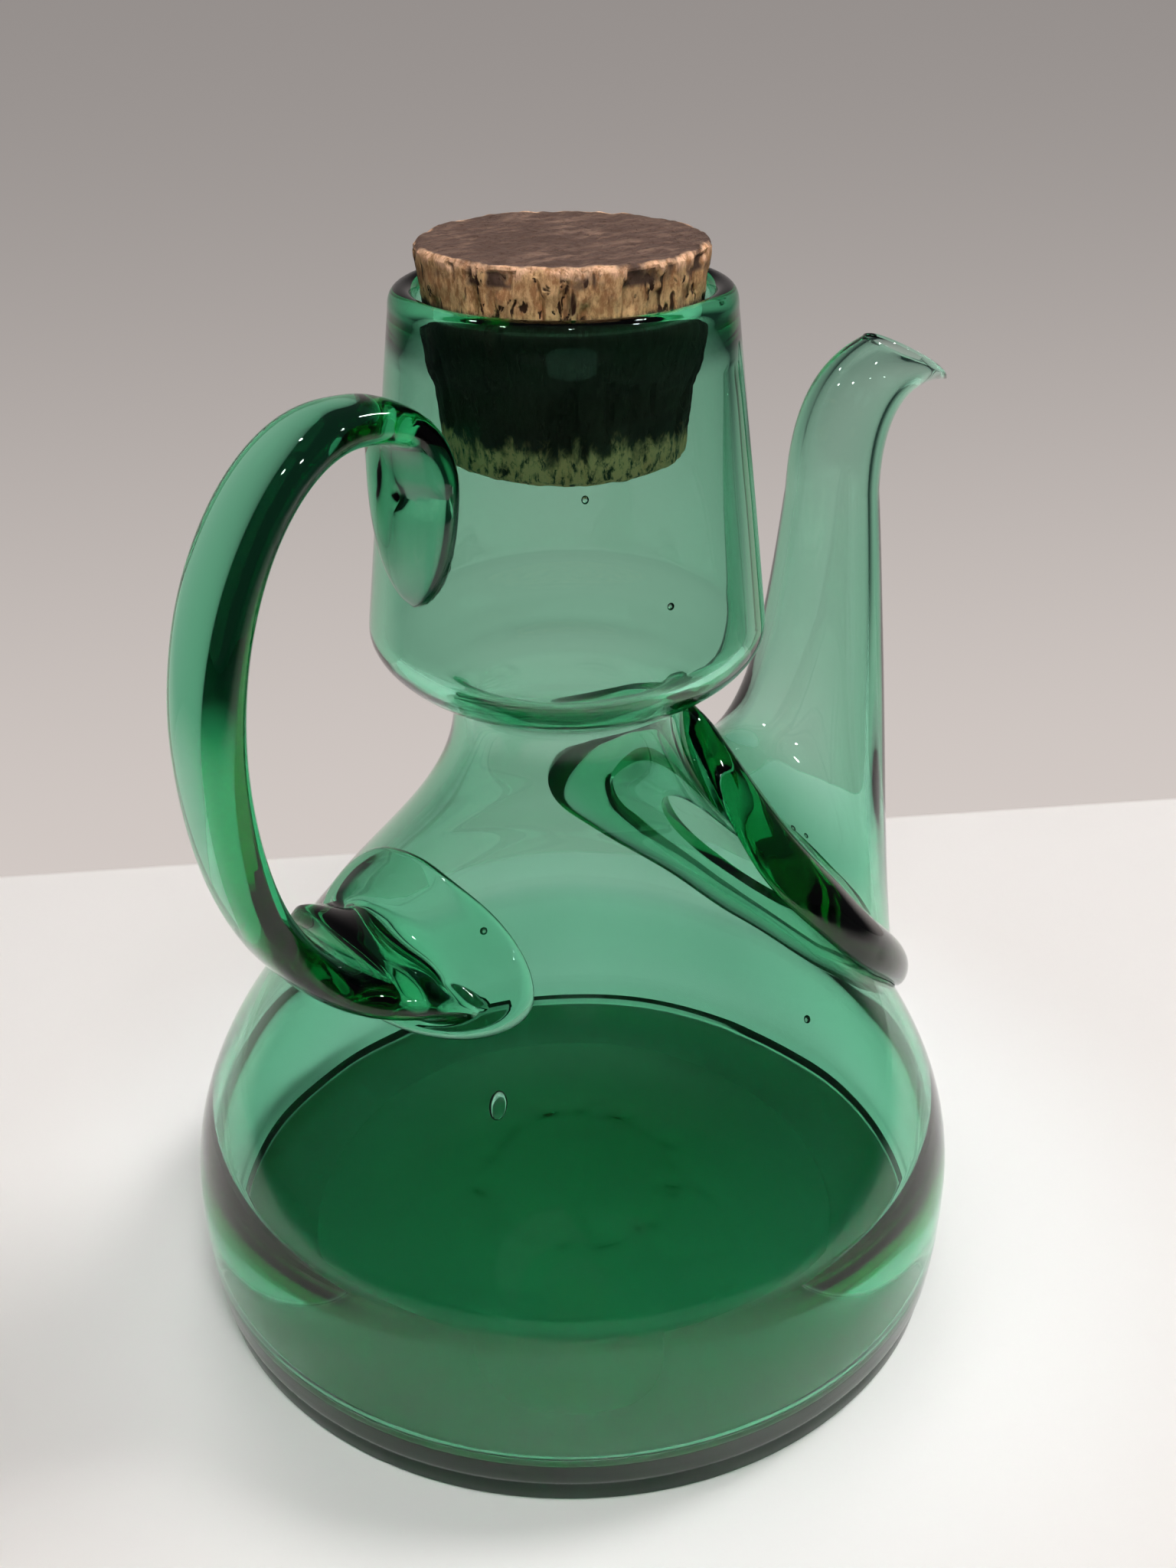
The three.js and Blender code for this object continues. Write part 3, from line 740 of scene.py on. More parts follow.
def handle_body_rings(sizes, slope, outer):
    """The handle's rings: out from under the pad, over its border, up the strap and down the tongue."""
    tilt = math.radians(90) - slope
    pad = Seat([-float(radius_at(outer, sizes.pad_height)), 0, sizes.pad_height],
               [-math.cos(tilt), 0, math.sin(tilt)], [0, -1, 0])
    ring = ovals_on_glass(pad, outer, sizes.pad_half_width, sizes.pad_half_length, 8)
    skin = offset(outer, WELD_GAP)
    strap = [pressed_onto(skin, r) for r in strap_rings(sizes, outer)]
    under = [ring(inset, WELD_GAP) for inset in np.linspace(sizes.pad_half_length - PAD_HOLE, PAD_TUCK, 9)]
    thickness = sizes.pad_thickness
    edge = bezier([[PAD_TUCK, WELD_GAP], [-PAD_TUCK / 2, 0.3 * thickness], [PAD_TUCK / 6, thickness],
                   [thickness / 2, thickness]], 6)
    foot = ring(sizes.pad_border, thickness, sizes.pad_drop)
    border = bezier([[thickness / 2, 0], [sizes.pad_border, sizes.pad_drop]], 4)[1:-1]
    melt = sizes.root_melt * ease((np.sin(turn_angles()) + 0.1) / 0.5)[:, None]
    start_pull = foot + (foot.mean(axis=0) - foot) * melt + sizes.root_stub * pad.out * (1 - melt)
    end = strap[0]
    end_pull = end + np.stack([np.full(len(end), sizes.root_stub), end[:, 1] * sizes.root_spread,
                               np.zeros(len(end))], axis=1)
    return (under + [ring(inset, lift) for inset, lift in edge[1:]]
            + [ring(inset, thickness, drop) for inset, drop in border]
            + flared(foot, start_pull, end_pull, end, 16) + strap[1:])


# Welds

def weld_weights(piece, outer):
    """1 at the points of a piece that lie on the vessel, 0 elsewhere."""
    points = coordinates(piece.data)
    reach = np.hypot(points[:, 0] - AXIS_X, points[:, 1]) - radius_at(outer, points[:, 2])
    return (reach < WELD_REACH).astype(np.float32)


def write_attribute(piece, name, values):
    attribute = piece.data.attributes.new(name, "FLOAT", "POINT")
    attribute.data.foreach_set("value", np.ascontiguousarray(values, dtype=np.float32))


def weld_faces_and_border(piece):
    """The faces of a piece that lie on the vessel, and points along their border."""
    shape = bmesh.new()
    shape.from_mesh(piece.data)
    weights = shape.verts.layers.float["weld"]
    welded = {face for face in shape.faces if all(vert[weights] > WELDED for vert in face.verts)}
    faces = [[vert.co.copy() for vert in face.verts] for face in welded]
    border = []
    for edge in shape.edges:
        if sum(face in welded for face in edge.link_faces) == 1:
            first, last = (vert.co.copy() for vert in edge.verts)
            border += [first.lerp(last, i / 10) for i in range(10)]
    shape.free()
    return faces, border


def mark_seams(vessel, pieces):
    """Writes how far each point of the vessel lies outside the welds, negative within them."""
    corners, polygons, border = [], [], []
    for piece in pieces:
        faces, line = weld_faces_and_border(piece)
        for face in faces:
            polygons.append(tuple(range(len(corners), len(corners) + len(face))))
            corners += face
        border += line
    tree = BVHTree.FromPolygons(corners, polygons)
    edge = KDTree(len(border))
    for i, point in enumerate(border):
        edge.insert(point, i)
    edge.balance()
    values = [seam_distance(tree, edge, vertex.co) for vertex in vessel.data.vertices]
    write_attribute(vessel, "weld", values)


def seam_distance(tree, edge, point):
    place, normal, _, distance = tree.find_nearest(point)
    apart = point - place
    sideways = (apart - apart.dot(normal) * normal).length
    to_edge = edge.find(point)[2]
    within = distance < 2 * WELD_REACH and sideways < WELD_GAP
    return -to_edge if within else to_edge


# Bubbles

def add_bubbles(piece, places):
    """Air bubbles in the glass: closed hollows, their faces turned into the air, joined to the piece."""
    hollows = [bubble(*place) for place in places]
    activate(piece)
    for hollow in hollows:
        hollow.select_set(True)
    bpy.ops.object.join()


def bubble(centre, radii, turn):
    deselect_all()
    bpy.ops.mesh.primitive_uv_sphere_add(segments=20, ring_count=12, radius=1)
    hollow = bpy.context.object
    hollow.data.transform(Matrix.LocRotScale(centre, turn, Vector(radii)))
    hollow.data.flip_normals()
    hollow.data.shade_smooth()
    return hollow


def round_bubble(centre, radius):
    return Vector(centre) * MM, [radius * MM] * 3, Euler()


def wall_bubble(profile, azimuth, *sizes):
    """A bubble in the vessel's wall at a height: wide round it, tall along it and deep through it."""
    azimuth = math.radians(azimuth)
    height, width, tall, deep = (size * MM for size in sizes)
    low, middle, high = (float(radius_at(profile, height + step)) for step in (-1 * MM, 0, 1 * MM))
    lean = math.atan2(low - high, 2 * MM)
    out = Vector((math.cos(azimuth), math.sin(azimuth), 0))
    across = Vector((-math.sin(azimuth), math.cos(azimuth), 0))
    normal = out * math.cos(lean) + Vector((0, 0, math.sin(lean)))
    centre = Vector((AXIS_X, 0, height)) + out * middle - normal * BUBBLE_DEPTH
    turn = Matrix((normal, across, normal.cross(across))).transposed().to_euler()
    return centre, (deep / 2, width / 2, tall / 2), turn


# Azimuth in degrees, then height, width, height and depth in millimetres of each bubble in the wall
WALL_BUBBLES = [
    (-144, 72.3, 3.2, 5.2, 1.3),
    (-124.4, 174, 1.2, 1.4, 0.8),
    (-99.5, 155, 1.3, 1.3, 0.9),
    (-74.8, 73.6, 1.8, 1.5, 1.2),
]
BUBBLE_DEPTH = 1.5 * MM
# Middle and radius in millimetres of each bubble in the spout's bell and in the handle's pad
SPOUT_BUBBLES = [((26.6, -23.1, 92.3), 0.7), ((29.7, -23.9, 89.8), 0.6)]
HANDLE_BUBBLES = [((-44.7, -16.2, 95.8), 0.7)]


# Materials

class Nodes:
    """Short ways to add and join the nodes of one material, or of the world."""

    def __init__(self, name="", tree=None):
        if tree is None:
            self.material = bpy.data.materials.new(name)
            self.material.use_nodes = True
            tree = self.material.node_tree
        self.tree = tree
        self.tree.nodes.clear()
        self.place = self.add("ShaderNodeTexCoord").outputs["Object"]

    def add(self, kind, inputs=None, **settings):
        made = self.tree.nodes.new(kind)
        for name, value in settings.items():
            setattr(made, name, value)
        for name, value in (inputs or {}).items():
            if isinstance(value, bpy.types.NodeSocket):
                self.tree.links.new(value, made.inputs[name])
            else:
                made.inputs[name].default_value = value
        return made

    def math(self, operation, first, second=0.0, clamp=False):
        return self.add("ShaderNodeMath", {0: first, 1: second}, operation=operation,
                        use_clamp=clamp).outputs[0]

    def scaled(self, first, second):
        return self.math("MULTIPLY", first, second)

    def vectors(self, operation, first, second=(0, 0, 0)):
        made = self.add("ShaderNodeVectorMath", {0: first, 1: second}, operation=operation)
        return made.outputs["Value" if operation in ("LENGTH", "DOT_PRODUCT") else "Vector"]

    def height(self, place):
        return self.add("ShaderNodeSeparateXYZ", {"Vector": place}).outputs["Z"]

    def noise(self, size, detail, roughness, stretch=(1, 1, 1), distortion=0.0):
        """Noise with features about a size across, drawn out along the ways whose stretch is below 1."""
        place = self.add("ShaderNodeMapping", {"Vector": self.place, "Scale": stretch}).outputs["Vector"]
        return self.add("ShaderNodeTexNoise", {
            "Vector": place, "Scale": 1 / size, "Detail": detail, "Roughness": roughness,
            "Distortion": distortion,
        }).outputs["Fac"]

    def ramp(self, value, low, high, start=0.0, end=1.0):
        return self.add("ShaderNodeMapRange", {
            "Value": value, "From Min": low, "From Max": high, "To Min": start, "To Max": end,
        }, interpolation_type="SMOOTHSTEP").outputs["Result"]

    def mix(self, share, first, second):
        return self.add("ShaderNodeMix", {0: share, 6: first, 7: second}, data_type="RGBA").outputs[2]

    def finish(self, surface, volume=None):
        out = self.add("ShaderNodeOutputMaterial", {"Surface": surface.outputs[0]})
        if volume:
            self.tree.links.new(volume.outputs[0], out.inputs["Volume"])
        return self.material


# Index of a welded face, close to none, so that light goes nearly straight through
WELDED_INDEX = 1.0005
SMEAR_SIZE = 1 / 60
WORN_FROM, WORN_TO = 0.1 * MM, 0.8 * MM


def glass_material(name, look, fused_when, limit):
    """Clear tinted glass, faintly smeared and worn where it stands. Its welded faces hardly bend light."""
    nodes = Nodes(name)
    weld = nodes.add("ShaderNodeAttribute", attribute_name="weld").outputs["Fac"]
    index = nodes.ramp(nodes.math(fused_when, weld, limit), 0, 1, look.index, WELDED_INDEX)
    smear = nodes.ramp(nodes.noise(SMEAR_SIZE, 4, 0.6), 0.35, 0.75, look.roughness * 0.3, look.roughness * 2)
    worn = nodes.ramp(nodes.height(nodes.place), WORN_FROM, WORN_TO, look.worn, 0.0)
    surface = nodes.add("ShaderNodeBsdfPrincipled", {
        "Base Color": (1, 1, 1, 1), "Transmission Weight": 1.0, "IOR": index,
        "Roughness": nodes.math("MAXIMUM", smear, worn),
    })
    volume = nodes.add("ShaderNodeVolumeAbsorption", {"Color": look.tint, "Density": look.density})
    return nodes.finish(surface, volume)


def cork_material(look, cork):
    """Natural cork: stained bark on top, frayed and pale at its edge, pitted and cracked round the side,
    and within the mouth dark with drink and with painted shade, with pale flecks near its foot as painted
    light."""
    nodes = Nodes("bark_cork")
    height = nodes.height(nodes.place)
    from_axis = nodes.vectors("SUBTRACT", nodes.place, (AXIS_X, 0, 0))
    radius = nodes.vectors("LENGTH", nodes.vectors("MULTIPLY", from_axis, (1, 1, 0)))

    grain = nodes.noise(1.1 * MM, 6, 0.7, (1, 1, 0.45))
    layers = nodes.noise(4.5 * MM, 4, 0.6, (1, 1, 0.7), 0.5)
    pits = nodes.ramp(nodes.noise(2.4 * MM, 3, 0.6, (1, 1, 0.6), 0.8), 0.6, 0.66)
    cracks = nodes.ramp(nodes.noise(2.0 * MM, 2, 0.5, (1, 1, 0.22), 0.6), 0.62, 0.68)
    dark = nodes.math("MAXIMUM", pits, cracks)
    side = nodes.mix(nodes.ramp(grain, 0.38, 0.62), look.side, look.side_light)
    side = nodes.mix(nodes.ramp(layers, 0.5, 0.7, 0.0, 0.5), side, look.bark)
    side = nodes.mix(dark, side, look.pit)

    # Within the mouth the side is painted dark, partly a drink stain and partly painted shade from the glass
    # round it; pale grain flecks near its foot are painted light, as if light reached it through the glass
    foot = nodes.ramp(nodes.math("ADD", height, nodes.scaled(layers, 16 * MM)),
                      CORK_LOW.z + 12 * MM, CORK_LOW.z + 16 * MM, 1.0, 0.0)
    drink_stain_and_painted_shade = nodes.mix(nodes.scaled(foot, nodes.ramp(grain, 0.36, 0.52)), look.drink_stain_and_painted_shade, look.side_light)
    within = nodes.ramp(nodes.math("ADD", height, nodes.scaled(grain, 2 * MM)),
                        VESSEL_HIGH.z - 0.5 * MM, VESSEL_HIGH.z + 0.8 * MM, 1.0, 0.0)
    side = nodes.mix(within, side, drink_stain_and_painted_shade)

    fray = nodes.scaled(nodes.math("SUBTRACT", layers, 0.5), 7 * MM)
    edge = nodes.ramp(nodes.math("ADD", height, fray), CORK_HIGH.z - 2.6 * MM, CORK_HIGH.z - 1.4 * MM)
    worn = nodes.mix(nodes.ramp(grain, 0.35, 0.6), look.side, look.edge)
    side = nodes.mix(edge, side, worn)

    streaks = nodes.noise(2.2 * MM, 5, 0.65, (0.35, 1, 1), 0.4)
    blotch = nodes.noise(9 * MM, 4, 0.6)
    light = nodes.scaled(nodes.ramp(streaks, 0.42, 0.68), nodes.ramp(blotch, 0.35, 0.65, 0.25, 1.0))
    top = nodes.mix(light, look.bark, look.bark_light)
    top = nodes.mix(nodes.ramp(nodes.noise(1.2 * MM, 4, 0.7), 0.58, 0.66, 0.0, 0.7), top, look.pit)
    border = nodes.math("ADD", radius, nodes.scaled(nodes.math("SUBTRACT", blotch, 0.5), 6 * MM))
    lid = nodes.scaled(nodes.ramp(border, cork.top_radius - 2 * MM, cork.top_radius - 1 * MM, 1.0, 0.0),
                       nodes.ramp(height, CORK_HIGH.z - 4.5 * MM, CORK_HIGH.z - 3.5 * MM))

    relief = nodes.math("SUBTRACT", grain, nodes.scaled(dark, 0.8))
    bump = nodes.add("ShaderNodeBump", {"Height": relief, "Strength": 0.7, "Distance": 0.6 * MM})
    surface = nodes.add("ShaderNodeBsdfPrincipled", {
        "Base Color": nodes.mix(lid, side, top), "Normal": bump.outputs[0],
        "Roughness": nodes.ramp(grain, 0.3, 0.7, 0.75, 0.95),
    })
    return nodes.finish(surface)


def dress(piece, node, body, material):
    piece.data.materials.clear()
    piece.data.materials.append(material)
    smooth_shading(piece)
    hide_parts(node)
    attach(piece, body)


# Operators

class CARAFE_OT_vessel(bpy.types.Operator):
    """Blow the vessel: body, waist, collar and rim, with the hole for the spout"""
    bl_idname = "carafe.vessel"
    bl_label = "Vessel"

    def execute(self, context):
        scene = context.scene
        vessel = turned("vessel_glass", vessel_outline(scene.carafe_vessel, scene.carafe_cork), TURN_STEPS)
        mark_floor(vessel)
        self.open_spout_hole(vessel, scene.carafe_spout)
        rippled(vessel, scene.carafe_glass.ripple, 24 * MM, 5)
        return {"FINISHED"}

    def open_spout_hole(self, vessel, sizes):
        seat = spout_seat(sizes)
        ring = seat.ring(sizes.hole_half_width, sizes.hole_half_length)
        cutter = lofted("hole_cutter", placed([ring - seat.out * sizes.hole_depth,
                                               ring + seat.out * sizes.hole_depth]))
        apply_modifier(vessel, "BOOLEAN", operation="DIFFERENCE", solver="EXACT", object=cutter)
        bpy.data.objects.remove(cutter)


def mark_floor(vessel):
    """The rough ring that the pontil rod left under the floor, and a smaller ring beside it."""
    mesh = vessel.data
    points, normals = coordinates(mesh), vertex_normals(mesh)
    under = (normals[:, 2] < -0.5) & (points[:, 2] < UNDERSIDE_TOP)
    for (x, y), radius, depth, width in FLOOR_RINGS:
        away = np.hypot(points[:, 0] - AXIS_X - x, points[:, 1] - y)
        rough = noise_at(points, 5 * MM)
        ridge = np.exp(-((away - radius - rough * 1.5 * MM) / width) ** 2) * (0.75 + rough)
        points[:, 2] -= np.where(under, depth * ridge, 0)
    move_points(mesh, points)


UNDERSIDE_TOP = 8 * MM
# Middle, radius, depth and width of each ring
FLOOR_RINGS = [
    ((2.6 * MM, 1.1 * MM), 20 * MM, 0.55 * MM, 2.6 * MM),
    ((9.7 * MM, -23.4 * MM), 10 * MM, 0.4 * MM, 1.4 * MM),
]


class CARAFE_OT_spout(bpy.types.Operator):
    """Draw the hollow pouring spout and press its flange onto the shoulder"""
    bl_idname = "carafe.spout"
    bl_label = "Spout"

    def execute(self, context):
        scene = context.scene
        outer = outline(scene.carafe_vessel)
        spout = lofted("spout_glass", placed(spout_body_rings(scene.carafe_spout, outer)), wrapped=True)
        weights = weld_weights(spout, outer)
        rippled(spout, scene.carafe_glass.ripple, 18 * MM, 11, 1 - weights)
        write_attribute(spout, "weld", weights)
        return {"FINISHED"}


class CARAFE_OT_handle(bpy.types.Operator):
    """Draw the strap handle from its pad on the shoulder to its tongue on the collar"""
    bl_idname = "carafe.handle"
    bl_label = "Handle"

    def execute(self, context):
        scene = context.scene
        outer = outline(scene.carafe_vessel)
        rings = handle_body_rings(scene.carafe_handle, scene.carafe_vessel.shoulder_slope, outer)
        handle = lofted("handle_glass", placed(rings))
        weights = weld_weights(handle, outer)
        self.crease_tongue(handle)
        rippled(handle, scene.carafe_glass.ripple, 15 * MM, 17, 1 - weights)
        write_attribute(handle, "weld", weights)
        return {"FINISHED"}

    def crease_tongue(self, handle):
        """A fold across the outside of the tongue, from its middle to one edge."""
        points, normals = coordinates(handle.data), vertex_normals(handle.data)
        middle, depth, width, slant = TONGUE_CREASE
        x, y, height = points.T
        fold = np.exp(-((height - middle + slant * y) / width) ** 2) * ease(-y / (4 * MM))
        outside = (normals[:, 0] < -0.1) & (x < HANDLE_LOW.x / 2) & (x > HANDLE_LOW.x * 0.75)
        press_in(handle.data, depth * fold * outside)


# Height of the fold's middle, its depth, its width and how it slants
TONGUE_CREASE = (172.5 * MM, 1.0 * MM, 1.3 * MM, 0.1)


class CARAFE_OT_glass(bpy.types.Operator):
    """Weld the spout and the handle on, seal in the bubbles and give all three the green glass"""
    bl_idname = "carafe.glass"
    bl_label = "Glass"

    def execute(self, context):
        scene = context.scene
        pieces = {name: bpy.data.objects[f"{name}_glass"] for name in ("vessel", "spout", "handle")}
        mark_seams(pieces["vessel"], [pieces["spout"], pieces["handle"]])
        outer = outline(scene.carafe_vessel)
        add_bubbles(pieces["vessel"], [wall_bubble(outer, *place) for place in WALL_BUBBLES])
        add_bubbles(pieces["spout"], [round_bubble(*place) for place in SPOUT_BUBBLES])
        add_bubbles(pieces["handle"], [round_bubble(*place) for place in HANDLE_BUBBLES])
        for name, piece in pieces.items():
            fused = ("LESS_THAN", 0.0) if name == "vessel" else ("GREATER_THAN", WELDED)
            green = glass_material(f"{name}_green", scene.carafe_glass, *fused)
            dress(piece, name, "glass", green)
        return {"FINISHED"}


class CARAFE_OT_cork(bpy.types.Operator):
    """Cut the tapered cork, with its uneven side and stained top"""
    bl_idname = "carafe.cork"
    bl_label = "Cork"

    def execute(self, context):
        sizes, look = context.scene.carafe_cork, context.scene.carafe_cork_look
        cork = turned("cork_bark", self.half_outline(sizes), CORK_STEPS)
        self.roughen(cork, sizes)
        dress(cork, "cork_stopper", "cork", cork_material(look, sizes))
        return {"FINISHED"}

    def half_outline(self, sizes):
        low, high, edge = CORK_LOW.z, CORK_HIGH.z, sizes.edge
        foot, head = cork_radius_at(sizes, low + edge), cork_radius_at(sizes, high - edge)
        corners = [[0, low], [sizes.bottom_radius - edge, low], [foot, low + edge], [head, high - edge],
                   [sizes.top_radius - edge, high], [0, high]]
        return evenly(softened(np.array(corners), EDGE_SOFTNESS / 2), CORK_SPACING)

    def roughen(self, cork, sizes):
        """Dents in the side, the top and the edge, all inwards, and upright cracks round the side."""
        for size, share, seed in CORK_DENTS:
            rippled(cork, sizes.roughness * share, size, seed)
        cracks = noise_at(coordinates(cork.data) * CRACK_STRETCH, CRACK_SIZE)
        on_side = ease(1.4 - 1.6 * np.abs(vertex_normals(cork.data)[:, 2]))
        press_in(cork.data, sizes.crack * ease((cracks - 0.18) / 0.15) * on_side)


# Size of the dents, their share of the roughness, and where their noise starts
CORK_DENTS = [(7 * MM, 1, 21), (2.2 * MM, 1, 23), (1.1 * MM, 0.5, 27)]
CRACK_SIZE = 2.6 * MM
CRACK_STRETCH = (1, 1, 0.25)


class CARAFE_OT_stage(bpy.types.Operator):
    """Set the pale floor, the soft light and the camera"""
    bl_idname = "carafe.stage"
    bl_label = "Stage"

    def execute(self, context):
        look = context.scene.carafe_stage
        self.floor(look)
        self.world(look)
        self.lamps()
        self.camera(look)
        self.light_paths(context.scene)
        return {"FINISHED"}

    def floor(self, look):
        deselect_all()
        bpy.ops.mesh.primitive_plane_add(size=FLOOR_SIZE, location=(0, 0, -WELD_GAP))
        floor = bpy.context.object
        floor.name = "floor"
        floor.data.materials.append(self.floor_material(look))

    def floor_material(self, look):
        """A painted pool of light: pale round the carafe, palest right under it, and darker further out, with
        a grey backdrop behind a line across the view that is painted darker with its distance.
        """
        nodes = Nodes("pale_floor")
        behind = nodes.vectors("DOT_PRODUCT", nodes.place, (FAR_X, FAR_Y, 0))
        across = nodes.vectors("DOT_PRODUCT", nodes.place, (FAR_Y, -FAR_X, 0))
        reach = nodes.vectors("LENGTH", nodes.place)
        # Painted light: paler right under the carafe, then painted darker further out like the edge of a pool
        # of light
        near = nodes.mix(nodes.ramp(reach, *PAINTED_LIGHT_SPOT, 1.0, 0.0), look.table, look.table_painted_light)
        table = nodes.add("ShaderNodeBsdfPrincipled", {
            "Base Color": nodes.mix(nodes.ramp(reach, *PAINTED_LIGHT_POOL, 1.0, 0.0), look.dark, near),
            "Roughness": 0.7, "Specular IOR Level": 0.2,
        })
        # Painted shade: the backdrop darkens with its distance
        depth = nodes.math("ADD", behind, BACKDROP_DEPTH)
        level = nodes.ramp(nodes.math("DIVIDE", BACKDROP_DEPTH, depth), *BACKDROP_PAINTED_SHADE)
        sideways = nodes.math("ABSOLUTE", nodes.math("DIVIDE", across, depth))
        level = nodes.scaled(level, nodes.ramp(sideways, *BACKDROP_EDGE, 1.0, 0.0))
        backdrop = nodes.add("ShaderNodeEmission", {
            "Color": nodes.mix(level, look.dark, look.far), "Strength": self.seen(nodes),
        })
        share = nodes.ramp(behind, FAR_LINE - 1 * MM, FAR_LINE + 1 * MM)
        return nodes.finish(nodes.add("ShaderNodeMixShader", {
            0: share, 1: table.outputs[0], 2: backdrop.outputs[0],
        }))

    def seen(self, nodes):
        """1 for a ray that sees the backdrop, in a mirror or through glass too, 0 for one that it lights."""
        path = nodes.add("ShaderNodeLightPath").outputs
        seen = nodes.math("ADD", path["Is Camera Ray"], path["Is Glossy Ray"])
        return nodes.math("ADD", seen, path["Is Transmission Ray"], clamp=True)

    def world(self, look):
        """A dark room, a little lighter behind the carafe."""
        world = bpy.data.worlds.new("dark_room")
        bpy.context.scene.world = world
        world.use_nodes = True
        nodes = Nodes(tree=world.node_tree)
        way = nodes.add("ShaderNodeTexCoord").outputs["Generated"]
        ahead = nodes.ramp(nodes.vectors("DOT_PRODUCT", way, (FAR_X, FAR_Y, 0)), 0.55, 0.9)
        level = nodes.scaled(ahead, nodes.ramp(nodes.height(way), 0.0, 0.5, 0.4, 0.0))
        background = nodes.add("ShaderNodeBackground", {"Color": nodes.mix(level, look.dark, look.far)})
        nodes.add("ShaderNodeOutputWorld", {"Surface": background.outputs[0]})

    def lamps(self):
        for index, (turn, tilt, size, power) in enumerate(SOFT_LAMPS):
            self.soft_disk(f"soft_lamp_{index + 1}", overhead(turn, tilt, SOFT_REACH), size, power)
        for index, turn in enumerate(SPOT_TURNS):
            self.spot(f"spot_{index + 1}", overhead(turn, SPOT_TILT, SPOT_REACH))

    def soft_disk(self, name, place, size, power):
        """A glowing disk whose light falls through the glass, while its own image is faint in it."""
        deselect_all()
        bpy.ops.mesh.primitive_circle_add(vertices=48, radius=size / 2, fill_type="NGON", location=place,
                                          rotation=aimed_down(place))
        disk = bpy.context.object
        disk.name = name
        nodes = Nodes(name)
        path = nodes.add("ShaderNodeLightPath").outputs
        unlit = nodes.math("LESS_THAN", path["Diffuse Depth"], 0.5)
        image = nodes.scaled(path["Is Transmission Ray"], unlit)
        strength = power / (math.pi * math.pi * (size / 2) ** 2)
        level = nodes.math("ADD", nodes.scaled(image, LAMP_SEEN - strength), strength)
        disk.data.materials.append(nodes.finish(nodes.add("ShaderNodeEmission", {"Strength": level})))
        disk.visible_camera = disk.visible_glossy = False

    def spot(self, name, place):
        """A small lamp that shows only as a glint."""
        lamp = bpy.data.lights.new(name, "AREA")
        lamp.shape, lamp.size, lamp.energy = "DISK", SPOT_SIZE, SPOT_POWER
        spot = new_object(name, lamp)
        spot.location, spot.rotation_euler = place, aimed_down(place)
        spot.visible_transmission = spot.visible_diffuse = False

    def camera(self, look):
        data = bpy.data.cameras.new("view")
        data.sensor_fit, data.sensor_height, data.lens = "VERTICAL", 36, look.lens
        data.clip_start = 0.01
        view = new_object("view", data)
        turn = CAMERA_WAY.to_track_quat("-Z", "Y") @ Euler((0, 0, CAMERA_ROLL)).to_quaternion()
        view.location, view.rotation_euler = CAMERA_PLACE, turn.to_euler()
        bpy.context.scene.camera = view

    def light_paths(self, scene):
        """Enough bounces for light to pass all the walls of the glass."""
        scene.view_settings.view_transform = "Standard"
        cycles = scene.cycles
        cycles.max_bounces = cycles.transmission_bounces = 28
        cycles.glossy_bounces = 10
        cycles.diffuse_bounces = 5
        cycles.volume_bounces = 0
        cycles.sample_clamp_indirect = 20


FLOOR_SIZE = 16.0
FAR_TURN = math.radians(56.2)
FAR_X, FAR_Y = math.cos(FAR_TURN), math.sin(FAR_TURN)
FAR_LINE = 155.6 * MM
TARGET = Vector((0, 0, 0.1))
CAMERA_PLACE = Vector((-0.1971, -0.2215, 0.2627))
CAMERA_WAY = Vector((0.57419, 0.66712, -0.47460))
CAMERA_ROLL = math.radians(-0.34)

# Painted light on the table: it is palest within the first reach, a painted spot of light under the carafe,
# and it fades between the next two, a painted pool of light. The backdrop is painted darker with its distance,
# as shade, and fades to both sides.
PAINTED_LIGHT_SPOT = (0.08, 0.15)
PAINTED_LIGHT_POOL = (0.27, 0.6)
BACKDROP_DEPTH = 0.296
BACKDROP_PAINTED_SHADE = (0.0, 0.72, 0.42, 1.0)
BACKDROP_EDGE = (0.5, 1.1)

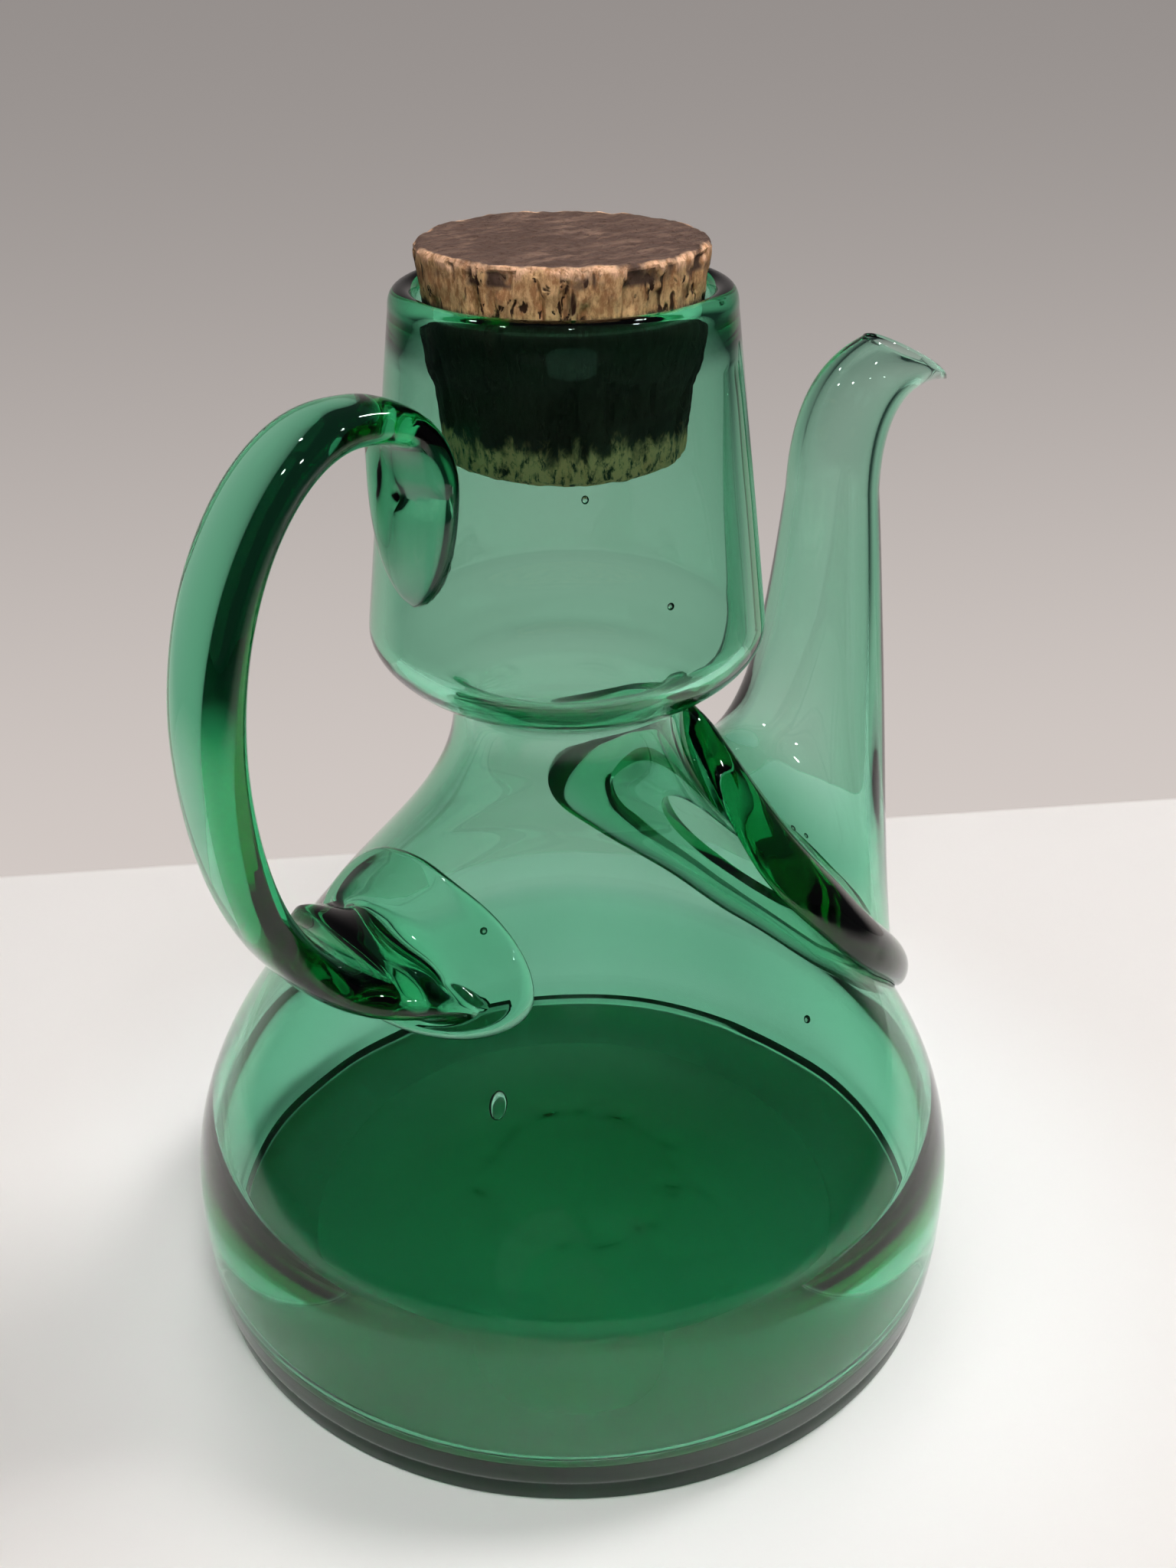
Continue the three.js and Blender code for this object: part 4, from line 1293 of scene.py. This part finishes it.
# Turn of each soft lamp from the camera's side of the carafe, in degrees, positive to the right in the
# picture, then its tilt from overhead, its size and its power. The glint lamps differ in their turns only.
SOFT_LAMPS = [(0, 35, 0.8, 18.5), (-70, 27, 0.7, 1.5), (180, 22, 0.8, 6.5), (106, 32, 0.5, 13.5)]
SOFT_REACH = 1.7
LAMP_SEEN = 0.35
SPOT_TURNS = (0, -67, 67, 140, -130)
SPOT_TILT = 30
SPOT_REACH = 2.1
SPOT_SIZE = 0.1
SPOT_POWER = 2.5


def aimed_down(place):
    return (TARGET - Vector(place)).to_track_quat("-Z", "Y").to_euler()


def overhead(turn, tilt, reach):
    """A place above the carafe at a turn from the camera's side, a tilt from overhead and a reach."""
    way = FAR_TURN + math.radians(180 + turn)
    tilt = math.radians(tilt)
    aside = math.sin(tilt)
    return TARGET + reach * Vector((aside * math.cos(way), aside * math.sin(way), math.cos(tilt)))


class CARAFE_PT_panel(bpy.types.Panel):
    """Builds the carafe piece by piece"""
    bl_label = "Glass carafe"
    bl_idname = "CARAFE_PT_panel"
    bl_space_type = "VIEW_3D"
    bl_region_type = "UI"
    bl_category = "Carafe"

    def draw(self, context):
        for operator in OPERATORS:
            self.layout.operator(operator.bl_idname)
        for name, group in GROUPS.items():
            box = self.layout.box()
            box.label(text=group.__doc__)
            for setting in group.__annotations__:
                box.prop(getattr(context.scene, name), setting)


OPERATORS = (CARAFE_OT_vessel, CARAFE_OT_spout, CARAFE_OT_handle, CARAFE_OT_glass, CARAFE_OT_cork,
             CARAFE_OT_stage)
CLASSES = (*GROUPS.values(), *OPERATORS, CARAFE_PT_panel)


def register():
    for made in CLASSES:
        bpy.utils.register_class(made)
    for name, group in GROUPS.items():
        setattr(bpy.types.Scene, name, bpy.props.PointerProperty(type=group))


def unregister():
    for name in GROUPS:
        delattr(bpy.types.Scene, name)
    for made in reversed(CLASSES):
        bpy.utils.unregister_class(made)


def main():
    register()
    for operator in OPERATORS:
        group, name = operator.bl_idname.split(".")
        getattr(getattr(bpy.ops, group), name)()


if __name__ == "__main__":
    main()
